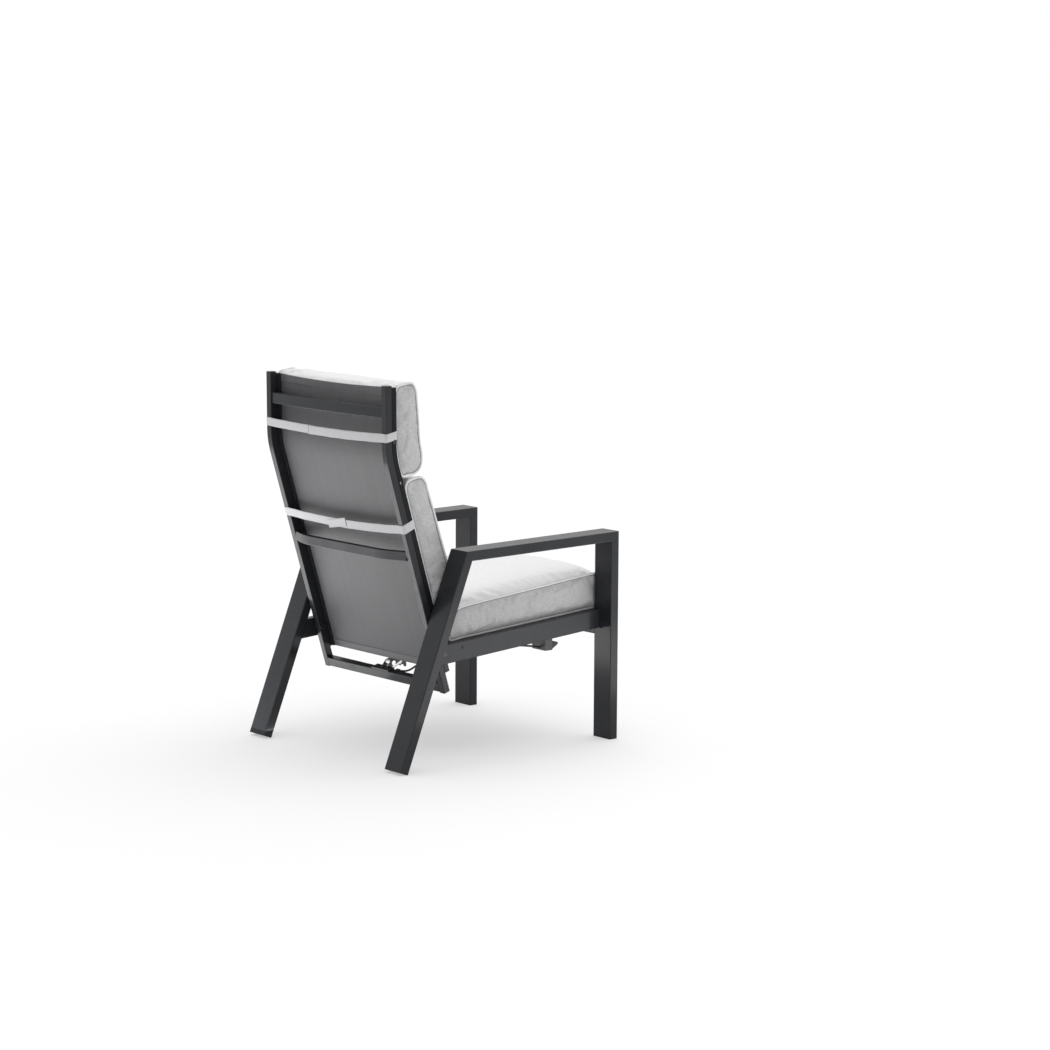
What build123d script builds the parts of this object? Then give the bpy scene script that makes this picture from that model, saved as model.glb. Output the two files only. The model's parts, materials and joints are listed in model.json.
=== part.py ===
"""Reclining garden armchair in flat aluminium tube, with slings, loose cushions and a gas spring.

The chair faces -Y, and the sitter's right is -X.  While it is modelled, Y runs back from the front
face of the front legs and Z up from the floor.  At the end the whole chair slides forward by half
its depth, so that the origin is on the floor under the middle of its box.
"""

from build123d import *
import os
from math import cos, radians, sin, sqrt, tan

os.makedirs("parts", exist_ok=True)

# Side frames: flat tube, wide face outwards
chair_width = 680.0
arm_length = 540.2
arm_front_height = 581.6
arm_back_height = 574.7
rear_leg_lean = 21.56
frame_tube_width = 70.0
frame_tube_depth = 27.2
frame_tube_wall = 2.0
frame_tube_radius = 2.5

# Plugs in the open tube ends
glide_flange = 3.0
glide_depth = 18.0
rear_glide_land = 4.5
cap_flange = 1.5
cap_depth = 9.0
plug_wall = 2.0
plug_clearance = 0.1

# Seat rails and cross members
rail_width = 25.0
rail_height = 52.0
rail_wall = 2.0
rail_radius = 2.0
rail_slope = 4.1
rail_front_top = 361.5
end_plate = 4.0
end_plate_lip = 6.0
end_plate_margin = 1.5
cross_rail_bottom = 288.4
spring_tube_size = 25.0
spring_tube_front = 100.0
spring_tube_bottom = 303.5
stretcher_size = 20.0
stretcher_ahead = 64.0
stretcher_above = 11.5
cross_tube_wall = 1.5
cross_tube_radius = 1.5
screw_shank_radius = 2.5
screw_head_radius = 4.2
screw_head_height = 1.6
screw_bite = 14.0
insert_length = 16.0

# Sling channels: a rounded groove holds the spline in the sling's hem
channel_width = 12.0
channel_height = 11.0
channel_drop = 5.0
channel_front_gap = 2.0
channel_back_gap = 2.0
groove_radius = 3.4
groove_mouth = 3.0
groove_wall = 2.2
spline_radius = 2.9
sling_thickness = 1.0
sling_spline_gap = 0.2

# Recline pivot, by its depth below the rails' top and its distance from the rear legs
pivot_depth = 24.3
pivot_before_leg = 40.5
bolt_radius = 4.0
bolt_head_radius = 7.5
bolt_head_height = 5.0
nut_radius = 6.5
nut_height = 1.8
bush_wall = 2.0
bush_flange = 1.5
bush_flange_radius = 8.5
spacer_radius = 9.0
running_clearance = 0.05
hole_clearance = 0.15
face_gap = 0.2

# Back frame
back_lean = 16.86
top_lean = 0.6
post_size = 20.0
post_wall = 1.6
post_radius = 2.0
post_side_gap = 5.0
post_below_pivot = 115.0
post_bend_distance = 558.5
post_bend_radius = 220.0
post_above_bend = 186.0
back_rail_web = 6.0
back_rail_body = 8.0
back_rail_width = 30.0
back_rail_below_pivot = 63.0
back_rail_top_inset = 4.0
bottom_bar_height = 25.0
lumbar_bar_height = 25.0
lumbar_bar_depth = 15.0
lumbar_bar_above_pivot = 265.5
lumbar_bar_bow = 29.4
lumbar_bar_slant_run = 77.0
lumbar_bar_bend = 150.0
upper_bar_height = 30.0
upper_bar_depth = 15.0
upper_bar_above_bend = 116.5
upper_bar_inset = 4.0
upper_bar_bow = 9.0
bar_wall = 1.5
bar_radius = 1.8

# Cushions and straps
soft_gap = 0.4
cushion_side_inset = 3.0
seat_cushion_side_gap = 6.0
seat_cushion_front = 6.5
seat_cushion_before_pivot = 35.0
seat_cushion_thickness = 94.0
belly_side_gap = 1.0
back_cushion_low = 94.0
back_cushion_length = 382.0
back_cushion_thickness = 81.0
head_cushion_below_bend = 53.0
head_cushion_height = 255.0
head_cushion_thickness = 89.0
strap_width = 25.0
strap_thickness = 1.5
strap_gap = 0.3
strap_corner = 3.0
head_strap_above_bend = 50.0
back_strap_above_pivot = 358.0
strap_joint_centre = 28.0
strap_joint_length = 82.0

# Gas spring between the back frame and the seat frame
rear_pin_ahead = 47.0
rear_pin_below = 69.5
front_pin_behind = 23.0
front_pin_below = 2.5
spring_pin_radius = 4.0
spring_pin_head_radius = 6.5
spring_pin_head = 2.5
head_width = 18.0
head_height = 22.0
head_length = 48.0
head_shoulder = 18.0
head_eye_radius = 9.0
rod_radius = 5.0
rod_spigot = 12.0
rod_shown = 62.0
cylinder_radius = 11.0
cylinder_wall = 1.5
cylinder_end = 3.0
guide_length = 14.0
guide_flange = 2.0
piston_length = 12.0
piston_gap = 6.0
eye_radius = 13.0
eye_bore_radius = 8.0
eye_width = 12.0
eye_neck = 6.0
eye_neck_radius = 7.0
ear_thickness = 4.0
ear_gap = 0.5
ear_boss_radius = 8.0
base_plate = 4.0
base_plate_left = 44.0
base_plate_right = 30.0
base_plate_overhang = 3.0
arm_tip_ahead = 24.0
arm_tip_above = 8.0
arm_tip_radius = 5.0
front_bracket_plate = 3.0

# Release arm on the spring's head
release_pivot_distance = 40.0
release_pin_radius = 2.5
release_cheek = 2.5
release_cheek_radius = 6.0
release_reach = 19.0
release_toe_radius = 4.5
release_bridge = 3.5
release_gap = 0.5
release_head_gap = 2.0

# Hand lever under the right seat rail
lever_width = 48.0
lever_side_gap = 1.0
lever_pin_y = 190.0
lever_pin_z = 272.0
lever_hub_radius = 8.0
lever_root_drop = 12.0
lever_length = 30.0
lever_rise = 8.0
lever_wall = 2.0
lever_pockets = 2
lever_tip_thickness = 8.0
lever_pin_radius = 3.0
lever_pin_head_radius = 5.0
lever_pin_head = 1.5
lever_headroom = 19.0
lever_bracket_sheet = 3.0
lever_bracket_front = 10.0
lever_bracket_back = 12.0
rivet_radius = 2.0
rivet_head_radius = 3.8
rivet_head = 1.4
rivet_inset = 5.0

# Release cable
cable_radius = 2.75
wire_radius = 1.2
clip_wall = 2.0
clip_length = 10.0
clip_low_x = -47.5
clip_up_bar = 21.0
wire_last_run = 12.0

# Cuts run past the material by this much
overrun = 5.0

across = Vector(1, 0, 0)
up = Vector(0, 0, 1)
backward = Vector(0, 1, 0)


def direction(lean):
    """Unit vector in the side view, leaning back from straight up by an angle in degrees."""
    return Vector(0, sin(radians(lean)), cos(radians(lean)))


def right_of(run):
    """Unit vector to the right of a run in the side view, seen with Y to the right and Z up."""
    return run.cross(across).normalized()


def meet(start, run, other_start, other_run):
    """Point where two lines cross in the side view."""
    turn = run.Y * other_run.Z - run.Z * other_run.Y
    apart = other_start - start
    return start + run * ((apart.Y * other_run.Z - apart.Z * other_run.Y) / turn)


def keep_side(solid, point, towards):
    """The part of a solid on one side of the plane through a point."""
    return split(solid, bisect_by=Plane(origin=point, z_dir=towards), keep=Keep.TOP)


def prism(plane, sketch, length):
    """A sketch drawn on a plane and pushed along the plane's normal."""
    return extrude(plane * sketch, length, dir=plane.z_dir)


def box_tube(start, end, wide_way, wide, deep, wall, radius):
    """Hollow tube with rounded long edges, its centre line from start to end."""
    plane = Plane(origin=start, x_dir=wide_way, z_dir=end - start)
    section = RectangleRounded(wide, deep, radius) - Rectangle(wide - 2 * wall, deep - 2 * wall)
    return prism(plane, section, (end - start).length)


def end_plug(plane, wide, deep, wall, radius, flange, depth):
    """Plastic plug for a box tube: a flange over the tube's end and a hollow core inside it."""
    core_wide = wide - 2 * wall - 2 * plug_clearance
    core_deep = deep - 2 * wall - 2 * plug_clearance
    ring = Rectangle(core_wide, core_deep)
    ring -= Rectangle(core_wide - 2 * plug_wall, core_deep - 2 * plug_wall)
    cover = prism(plane.offset(-flange), RectangleRounded(wide, deep, radius), flange)
    return cover + prism(plane, ring, depth)


def side_view(outline, low_x, high_x):
    """A side outline, as points with Y and Z, pushed from one X to another."""
    points = [(point.Y, point.Z) for point in outline]
    return prism(Plane.YZ.offset(low_x), Polygon(*points, align=None), high_x - low_x)


def rod(start, end, radius):
    """Round bar between two points."""
    return prism(Plane(origin=start, z_dir=end - start), Circle(radius), (end - start).length)


def at_x(point, x):
    """The same place in the side view, at another X."""
    return Vector(x, point.Y, point.Z)


def pin(point, radius, low_x, high_x):
    """Round bar along X through a place in the side view."""
    return rod(at_x(point, low_x), at_x(point, high_x), radius)


def headed_pin(point, radius, head_radius, head, low_x, high_x):
    """Pin along X with a round head beyond each end."""
    shank = pin(point, radius, low_x, high_x)
    return (
        shank
        + pin(point, head_radius, low_x - head, low_x)
        + pin(point, head_radius, high_x, high_x + head)
    )


def hull_plate(circles, corners, low_x, high_x):
    """Plate round some circles, as (point, radius), and corner points of the side view."""
    edges = []
    for point, radius in circles:
        edges += (Pos(point.Y, point.Z) * Circle(radius)).edges()
    if corners:
        edges += Polygon(*[(point.Y, point.Z) for point in corners], align=None).edges()
    return prism(Plane.YZ.offset(low_x), make_hull(edges), high_x - low_x)


def other_side(solid):
    """The same piece on the other side of the chair."""
    return mirror(solid, about=Plane.YZ)


pieces = {}


def add(name, *solids):
    """Keep the solids of one named piece."""
    pieces[name] = [solid for item in solids for solid in item.solids()]


def add_sides(name, left):
    """Keep a left piece and its mirrored right one, each by its own name."""
    add("left_" + name, left)
    add("right_" + name, other_side(left))


def add_pair(name, left):
    """Keep a left piece and its mirrored right one as one group."""
    add(name, left, other_side(left))


# Side frames, as one path: up the front leg, back along the arm, down the rear leg
front_corner = Vector(0, 0, arm_front_height)
back_corner = Vector(0, arm_length, arm_back_height)
arm_run = (back_corner - front_corner).normalized()
leg_run = direction(180 - rear_leg_lean)
lean_sine = sin(radians(rear_leg_lean))
lean_cosine = cos(radians(rear_leg_lean))
sole_cut = rear_glide_land * lean_sine * lean_cosine
rear_foot_z = frame_tube_depth * lean_sine - sole_cut
rear_leg_length = (arm_back_height - rear_foot_z) / lean_cosine
rear_foot = back_corner + leg_run * rear_leg_length
chair_depth = rear_foot.Y

frame_inner_x = chair_width / 2 - frame_tube_width
frame_centre_x = chair_width / 2 - frame_tube_width / 2
arm_inward = right_of(arm_run)
leg_inward = right_of(leg_run)
leg_inner_line = back_corner + leg_inward * frame_tube_depth


def frame_tube(start, end):
    """Length of the side frame's flat tube on the left side."""
    return box_tube(
        at_x(start, frame_centre_x),
        at_x(end, frame_centre_x),
        across,
        frame_tube_width,
        frame_tube_depth,
        frame_tube_wall,
        frame_tube_radius,
    )


def make_side_frames():
    """Mitred front leg, armrest and rear leg, with a glide in each foot."""
    half = frame_tube_depth / 2
    front_mitre = up + arm_run
    back_mitre = arm_run + leg_run
    front_axis = backward * half
    leg = frame_tube(front_axis + up * glide_flange, front_axis + front_corner + up * half)
    add_sides("front_leg", keep_side(leg, front_corner, -front_mitre))

    arm_axis = arm_inward * half
    past = arm_run * frame_tube_depth
    arm = frame_tube(front_corner + arm_axis - past, back_corner + arm_axis + past)
    arm = keep_side(arm, front_corner, front_mitre)
    add_sides("armrest", keep_side(arm, back_corner, -back_mitre))

    leg_axis = leg_inward * half
    leg_end = rear_foot + leg_axis - leg_run * glide_flange
    leg = frame_tube(back_corner + leg_axis - leg_run * frame_tube_depth, leg_end)
    add_sides("rear_leg", keep_side(leg, back_corner, back_mitre))

    sizes = (frame_tube_width, frame_tube_depth, frame_tube_wall, frame_tube_radius)
    front_end = at_x(front_axis + up * glide_flange, frame_centre_x)
    plane = Plane(origin=front_end, x_dir=across, z_dir=up)
    add_pair("front_glides", end_plug(plane, *sizes, glide_flange, glide_depth))
    plane = Plane(origin=at_x(leg_end, frame_centre_x), x_dir=across, z_dir=-leg_run)
    glide = end_plug(plane, *sizes, glide_flange, glide_depth)
    add_pair("rear_glides", keep_side(glide, Vector(0, 0, 0), up))


# Seat rails slope down to the back between the legs
rail_run = direction(90 + rail_slope)
rail_up = direction(rail_slope)
rail_front_y = frame_tube_depth + end_plate
rail_outer_x = frame_inner_x + rail_width


def rail_top(y):
    """Height of the seat rails' top face at a distance behind the front."""
    return rail_front_top - (y - frame_tube_depth) * tan(radians(rail_slope))


def rail_point(y, below):
    """Point of the side view at a depth square below the rails' top face."""
    return Vector(0, y, rail_top(y)) - rail_up * below


before_leg = leg_inner_line - backward * pivot_before_leg
pivot = meet(rail_point(0, pivot_depth), rail_run, before_leg, leg_run)
stretcher = pivot - backward * stretcher_ahead + up * stretcher_above


def make_seat_rails():
    """Sloping rails with an end plate each, drilled for the pivot bolt and the stretcher's screw."""
    centre_x = frame_inner_x + rail_width / 2
    front = at_x(rail_point(0, rail_height / 2), centre_x)
    back = at_x(rail_point(chair_depth, rail_height / 2), centre_x)
    rail = box_tube(front, back, across, rail_width, rail_height, rail_wall, rail_radius)
    rail = keep_side(rail, backward * rail_front_y, backward)
    rail = keep_side(rail, leg_inner_line, leg_inward)
    far = rail_outer_x + overrun
    rail -= pin(pivot, bolt_radius + hole_clearance, 0, far)
    rail -= pin(stretcher, screw_shank_radius + hole_clearance, 0, far)
    add("left_seat_rail", rail)
    rail = other_side(rail)
    for point in rivet_points:
        rail -= pin(point, rivet_radius + hole_clearance, -rail_outer_x + overrun, 0)
    add("right_seat_rail", rail)

    high = rail_top(frame_tube_depth) + end_plate_margin
    low = rail_top(frame_tube_depth) - rail_height - end_plate_margin
    corner = Vector(frame_inner_x, frame_tube_depth, low)
    plate = Pos(corner) * Box(rail_width + end_plate_lip, end_plate, high - low, align=Align.MIN)
    add_pair("rail_end_plates", plate)


def cross_tube(centre, tall, deep, wall, radius):
    """Straight tube across the chair between the inner faces of the side frames."""
    start = at_x(centre, -frame_inner_x)
    end = at_x(centre, frame_inner_x)
    return box_tube(start, end, up, tall, deep, wall, radius)


spring_tube_back = spring_tube_front + spring_tube_size
cross_rail_top = cross_rail_bottom + frame_tube_width


def make_cross_members():
    """Front rail, the tube that anchors the gas spring, and the rear stretcher with its screws."""
    centre = Vector(0, frame_tube_depth / 2, cross_rail_bottom + frame_tube_width / 2)
    sizes = (frame_tube_width, frame_tube_depth, frame_tube_wall, frame_tube_radius)
    add("front_cross_rail", cross_tube(centre, *sizes))
    half = spring_tube_size / 2
    centre = Vector(0, spring_tube_front + half, spring_tube_bottom + half)
    sizes = (spring_tube_size, spring_tube_size, cross_tube_wall, cross_tube_radius)
    add("spring_cross_tube", cross_tube(centre, *sizes))
    sizes = (stretcher_size, stretcher_size, cross_tube_wall, cross_tube_radius)
    add("rear_stretcher", cross_tube(stretcher, *sizes))

    tapped = screw_shank_radius + running_clearance
    core = stretcher_size - 2 * cross_tube_wall - 2 * plug_clearance
    plane = Plane(origin=at_x(stretcher, frame_inner_x), x_dir=up, z_dir=-across)
    insert = prism(plane, Rectangle(core, core) - Circle(tapped), insert_length)
    add_pair("stretcher_inserts", insert)
    screw = pin(stretcher, screw_shank_radius, frame_inner_x - screw_bite, rail_outer_x)
    screw += pin(stretcher, screw_head_radius, rail_outer_x, rail_outer_x + screw_head_height)
    add_pair("stretcher_screws", screw)


def groove(mouth_x, centre_y, inward_sign):
    """Section of a spline groove that opens towards the middle of the chair."""
    centre_x = mouth_x + inward_sign * (groove_radius + groove_wall)
    slot_length = groove_radius + groove_wall + overrun
    slot_centre = centre_x - inward_sign * slot_length / 2
    slot = Pos(slot_centre, centre_y) * Rectangle(slot_length, groove_mouth)
    return slot + Pos(centre_x, centre_y) * Circle(groove_radius)


groove_inset = groove_radius + groove_wall
sling_depth = channel_drop + channel_height / 2
seat_sling_front = rail_front_y + channel_front_gap
seat_sling_back = stretcher.Y - stretcher_size / 2 - channel_back_gap
seat_spline_x = frame_inner_x - channel_width + groove_inset


def make_seat_sling():
    """Channels inside the seat rails, the sling between them and the splines in its hems."""
    start = rail_point(seat_sling_front, 0)
    length = (rail_point(seat_sling_back, 0) - start).length
    plane = Plane(origin=start, x_dir=across, z_dir=rail_run)
    down = -plane.y_dir.dot(rail_up)
    centre_y = down * sling_depth
    centre_x = frame_inner_x - channel_width / 2
    section = Pos(centre_x, centre_y) * Rectangle(channel_width, channel_height)
    section -= groove(frame_inner_x - channel_width, centre_y, 1)
    add_pair("seat_sling_channels", prism(plane, section, length))
    add_pair("seat_splines", prism(plane, Pos(seat_spline_x, centre_y) * Circle(spline_radius), length))
    sling_width = 2 * (seat_spline_x - spline_radius - sling_spline_gap)
    sheet = Pos(0, centre_y) * Rectangle(sling_width, sling_thickness)
    add("seat_sling", prism(plane, sheet, length))


# Back frame: posts lean back, then bend upright
back_up = direction(back_lean)
top_up = direction(top_lean)
back_rear = right_of(back_up)
top_rear = right_of(top_up)
bend = pivot + back_up * post_bend_distance
post_outer_x = frame_inner_x - post_side_gap
post_inner_x = post_outer_x - post_size
post_x = post_outer_x - post_size / 2
back_rail_ahead = post_size / 2 + back_rail_web + back_rail_body
back_sling_ahead = back_rail_ahead - back_rail_body / 2
back_groove_x = post_outer_x - back_rail_width
back_spline_x = back_groove_x + groove_inset


def back_point(distance, ahead):
    """Point of the side view, up the leaning part from the pivot and ahead of the posts' centre."""
    return pivot + back_up * distance - back_rear * ahead


def top_point(distance, ahead):
    """Point of the side view, up from the bend and ahead of the posts' centre."""
    return bend + top_up * distance - top_rear * ahead


def back_path(low, high):
    """Line up the posts' centre, from low along the leaning part to high above the bend."""
    return FilletPolyline(back_point(low, 0), bend, top_point(high, 0), radius=post_bend_radius)


def back_sweep(section, low, high):
    """A section, drawn with X across and Y to the rear, carried up the back."""
    plane = Plane(origin=back_point(low, 0), x_dir=across, z_dir=back_up)
    return sweep(plane * section, path=back_path(low, high))


def lean_view(distance):
    """Drawing plane square to the leaning part of the posts, X across and Y to the rear."""
    return Plane(origin=back_point(distance, 0), x_dir=across, z_dir=back_up)


def rear_face_y(z):
    """Where the posts' rear face lies, below the bend, at a height."""
    return meet(back_point(0, -post_size / 2), back_up, Vector(0, 0, z), backward).Y


def top_rear_face_y(z):
    """Where the posts' rear face lies, above the bend, at a height."""
    return meet(top_point(0, -post_size / 2), top_up, Vector(0, 0, z), backward).Y


def make_posts():
    """Bent square posts with bushed pivot holes and a cap in each end."""
    section = RectangleRounded(post_size, post_size, post_radius)
    section -= Rectangle(post_size - 2 * post_wall, post_size - 2 * post_wall)
    post = back_sweep(Pos(post_x, 0) * section, -post_below_pivot, post_above_bend)
    bush_radius = bolt_radius + running_clearance + bush_wall
    post -= pin(pivot, bush_radius, post_inner_x - overrun, post_outer_x + overrun)
    add_sides("back_post", post)

    bush = pin(pivot, bush_radius, post_inner_x, post_outer_x)
    bush += pin(pivot, bush_flange_radius, post_inner_x - bush_flange, post_inner_x)
    bush -= pin(pivot, bolt_radius + running_clearance, post_inner_x - overrun, post_outer_x + overrun)
    add_pair("pivot_bushes", bush)

    sizes = (post_size, post_size, post_wall, post_radius, cap_flange, cap_depth)
    low = at_x(back_point(-post_below_pivot, 0), post_x)
    high = at_x(top_point(post_above_bend, 0), post_x)
    low_cap = end_plug(Plane(origin=low, x_dir=across, z_dir=back_up), *sizes)
    high_cap = end_plug(Plane(origin=high, x_dir=across, z_dir=-top_up), *sizes)
    add("post_caps", low_cap, high_cap, other_side(low_cap), other_side(high_cap))


def make_pivot_bolts():
    """Bolt from inside each post through the rail, with a spacer and a low nut."""
    head_x = post_inner_x - bush_flange - face_gap
    bolt = pin(pivot, bolt_radius, head_x, rail_outer_x)
    head_plane = Plane(origin=at_x(pivot, head_x), x_dir=up, z_dir=-across)
    bolt += prism(head_plane, RegularPolygon(bolt_head_radius, 6), bolt_head_height)
    add_pair("recline_bolts", bolt)
    nut = pin(pivot, nut_radius, rail_outer_x, rail_outer_x + nut_height)
    add_pair("recline_nuts", nut)
    spacer = pin(pivot, spacer_radius, post_outer_x + face_gap, frame_inner_x)
    spacer -= pin(pivot, bolt_radius + running_clearance, post_outer_x, frame_inner_x + overrun)
    add_pair("pivot_spacers", spacer)


def make_back_sling():
    """Grooved channels ahead of the posts, the sling between them and its splines."""
    low = -back_rail_below_pivot
    high = post_above_bend - back_rail_top_inset
    web_centre = -(post_size + back_rail_web) / 2
    section = Pos(post_x, web_centre) * Rectangle(post_size, back_rail_web)
    body_x = post_outer_x - back_rail_width / 2
    section += Pos(body_x, -back_sling_ahead) * Rectangle(back_rail_width, back_rail_body)
    section -= groove(back_groove_x, -back_sling_ahead, 1)
    add_sides("back_sling_channel", back_sweep(section, low, high))
    spline = back_sweep(Pos(back_spline_x, -back_sling_ahead) * Circle(spline_radius), low, high)
    add_pair("back_splines", spline)
    sling_width = 2 * (back_spline_x - spline_radius - sling_spline_gap)
    sheet = Pos(0, -back_sling_ahead) * Rectangle(sling_width, sling_thickness)
    add("back_sling", back_sweep(sheet, low, high))


def bar_section(tall, deep):
    """Section of a rounded hollow bar, its height along the sketch's X."""
    return RectangleRounded(tall, deep, bar_radius) - Rectangle(tall - 2 * bar_wall, deep - 2 * bar_wall)


def between_posts(bar):
    """A bar cut off at the inner faces of the two posts."""
    bar = keep_side(bar, across * post_inner_x, -across)
    return keep_side(bar, -across * post_inner_x, across)


def make_cross_bars():
    """Straight bottom bar, lumbar bar bent back in its middle, and gently bowed upper bar."""
    centre = back_point(-post_below_pivot + bottom_bar_height / 2, 0)
    plane = Plane(origin=at_x(centre, -post_inner_x), x_dir=back_up, z_dir=across)
    bottom = prism(plane, bar_section(bottom_bar_height, post_size), 2 * post_inner_x)
    add("bottom_bar", bottom)

    height = pivot.Z + lumbar_bar_above_pivot
    end_y = rear_face_y(height) - lumbar_bar_depth / 2
    middle_y = end_y + lumbar_bar_bow
    flat = post_inner_x - lumbar_bar_slant_run
    slant = (middle_y - end_y) / lumbar_bar_slant_run
    far = post_inner_x + overrun
    far_y = end_y - slant * overrun
    points = [(-far, far_y), (-flat, middle_y), (flat, middle_y), (far, far_y)]
    path = FilletPolyline(*[(x, y, height) for x, y in points], radius=lumbar_bar_bend)
    plane = Plane(origin=path @ 0, x_dir=up, z_dir=path % 0)
    bar = sweep(plane * bar_section(lumbar_bar_height, lumbar_bar_depth), path=path)
    add("lumbar_bar", between_posts(bar))

    height = bend.Z + upper_bar_above_bend
    end_y = top_rear_face_y(height) - upper_bar_inset - upper_bar_depth / 2
    bow_radius = (post_inner_x**2 + upper_bar_bow**2) / (2 * upper_bar_bow)
    middle_y = end_y + upper_bar_bow
    far_y = middle_y - bow_radius + sqrt(bow_radius**2 - far**2)
    points = [(-far, far_y), (0, middle_y), (far, far_y)]
    path = ThreePointArc(*[(x, y, height) for x, y in points])
    plane = Plane(origin=path @ 0, x_dir=up, z_dir=path % 0)
    bar = sweep(plane * bar_section(upper_bar_height, upper_bar_depth), path=path)
    add("upper_bar", between_posts(bar))


# Side outlines of the cushions at their seams, counted round: (share of depth ahead, share of length up)
back_seam_shares = [
    (0.0, 0.1),
    (0.16, 0.06),
    (0.86, 0.025),
    (1.0, 0.07),
    (1.01, 0.223),
    (0.98, 0.517),
    (0.97, 0.707),
    (0.925, 0.88),
    (0.8, 0.98),
    (0.59, 0.995),
    (0.25, 0.995),
    (0.08, 0.965),
    (0.0, 0.9),
]
head_seam_shares = [
    (0.16, 0.06),
    (0.24, 0.0),
    (0.74, 0.02),
    (0.95, 0.085),
    (0.99, 0.2),
    (0.92, 0.355),
    (0.87, 0.6),
    (0.79, 0.87),
    (0.67, 0.94),
    (0.5, 0.955),
    (0.12, 0.935),
    (0.0, 0.85),
    (0.0, 0.4),
]
# Seat cushion: (share of length back, share of thickness up)
seat_seam_shares = [
    (0.02, 0.0),
    (-0.004, 0.25),
    (-0.006, 0.87),
    (0.01, 1.04),
    (0.2, 1.04),
    (0.45, 1.01),
    (0.75, 0.975),
    (0.905, 0.93),
    (0.952, 0.8),
    (0.98, 0.53),
    (0.985, 0.05),
]
# How far each of those points moves between the seams, as shares of the same two sizes
back_crown_shares = [
    (0.0, -0.01),
    (-0.04, -0.02),
    (0.07, -0.02),
    (0.17, -0.01),
    (0.23, 0.0),
    (0.24, 0.0),
    (0.24, 0.0),
    (0.19, 0.005),
    (0.08, 0.008),
    (0.0, 0.01),
    (-0.02, 0.01),
    (-0.05, 0.005),
    (0.0, 0.0),
]
head_crown_shares = [
    (0.0, 0.0),
    (-0.02, 0.0),
    (0.07, -0.01),
    (0.15, -0.01),
    (0.18, 0.0),
    (0.19, 0.0),
    (0.18, 0.0),
    (0.14, 0.01),
    (0.07, 0.03),
    (0.01, 0.035),
    (-0.03, 0.02),
    (0.0, 0.0),
    (0.0, 0.0),
]
seat_crown_shares = [
    (0.0, 0.0),
    (-0.006, 0.0),
    (-0.01, 0.05),
    (-0.005, 0.13),
    (0.0, 0.2),
    (0.0, 0.22),
    (0.0, 0.17),
    (0.0, 0.08),
    (0.0, 0.0),
    (0.0, 0.0),
    (0.0, 0.0),
]
# Where the crown grows: (share of the half width out from the middle, share of the crown)
crown_step_shares = [(1.0, 0.0), (0.85, 0.45), (0.5, 0.95)]


cushion_half_width = post_outer_x - cushion_side_inset
cushion_rear = back_rail_ahead + soft_gap
seat_cushion_half_width = frame_inner_x - seat_cushion_side_gap
seat_cushion_length = pivot.Y - seat_cushion_before_pivot - seat_cushion_front


def crowned(place, seam_shares, crown_shares, half_width):
    """Closed soft form: place(ahead, up) puts the side outline's points, which swell towards the middle."""
    steps = [(-out, crown) for out, crown in crown_step_shares]
    steps += [(out, crown) for out, crown in reversed(crown_step_shares)]
    sections = []
    for out, crown in steps:
        points = []
        for seam, move in zip(seam_shares, crown_shares):
            point = place(seam[0] + crown * move[0], seam[1] + crown * move[1])
            points.append((point.Y, point.Z))
        sections.append(Plane.YZ.offset(out * half_width) * Polygon(*points, align=None))
    return loft(sections, ruled=True)


def seat_cushion_point(back_share, up_share):
    """Point of the side view at shares of the seat cushion's length and thickness."""
    y = seat_cushion_front + back_share * seat_cushion_length
    return rail_point(y, channel_drop - soft_gap) + rail_up * seat_cushion_thickness * up_share


def back_cushion_point(ahead_share, up_share):
    """Point of the side view at shares of the back cushion's thickness and length."""
    distance = back_cushion_low + up_share * back_cushion_length
    return back_point(distance, cushion_rear + ahead_share * back_cushion_thickness)


def head_cushion_point(ahead_share, up_share):
    """Point of the side view at shares of the head cushion's thickness and height."""
    distance = up_share * head_cushion_height - head_cushion_below_bend
    return top_point(distance, cushion_rear + ahead_share * head_cushion_thickness)


def make_cushions():
    """Closed forms of the three loose cushions, each clear of what it rests on."""
    seat = crowned(seat_cushion_point, seat_seam_shares, seat_crown_shares, seat_cushion_half_width)
    belly_half = frame_inner_x - channel_width - belly_side_gap
    belly_depth = sling_depth - sling_thickness / 2 - soft_gap
    front = seat_sling_front + belly_side_gap
    back = seat_sling_back - belly_side_gap
    belly = [
        rail_point(front, belly_depth),
        rail_point(back, belly_depth),
        rail_point(back, 0),
        rail_point(front, 0),
    ]
    seat += side_view(belly, -belly_half, belly_half)
    rail_space = Box(chair_width, frame_tube_depth + soft_gap, cross_rail_top + soft_gap, align=Align.MIN)
    seat -= Pos(-chair_width / 2, 0, 0) * rail_space
    add("seat_cushion", seat)

    shares = (back_seam_shares, back_crown_shares)
    add("back_cushion", crowned(back_cushion_point, *shares, cushion_half_width))

    shares = (head_seam_shares, head_crown_shares)
    head = crowned(head_cushion_point, *shares, cushion_half_width)
    keep_out_depth = 2 * cushion_rear
    keep_out = Pos(0, -cushion_rear + keep_out_depth / 2) * Rectangle(chair_width, keep_out_depth)
    head -= back_sweep(keep_out, back_rail_below_pivot, post_above_bend + head_cushion_height)
    add("head_cushion", head)


def strap(plane):
    """Flat band round the back of both posts, open at the front, on a plane square to them."""
    inner_half = post_outer_x + strap_gap
    rear = post_size / 2 + strap_gap
    front = back_rail_ahead
    reach = front + rear + strap_corner + overrun
    inner = RectangleRounded(2 * inner_half, reach, strap_corner)
    outer = RectangleRounded(
        2 * (inner_half + strap_thickness), reach + 2 * strap_thickness, strap_corner + strap_thickness
    )
    ring = Pos(0, rear - reach / 2) * (outer - inner)
    band = extrude(plane * ring, strap_width / 2, both=True)
    return keep_side(band, plane.origin - plane.y_dir * front, plane.y_dir)


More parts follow.
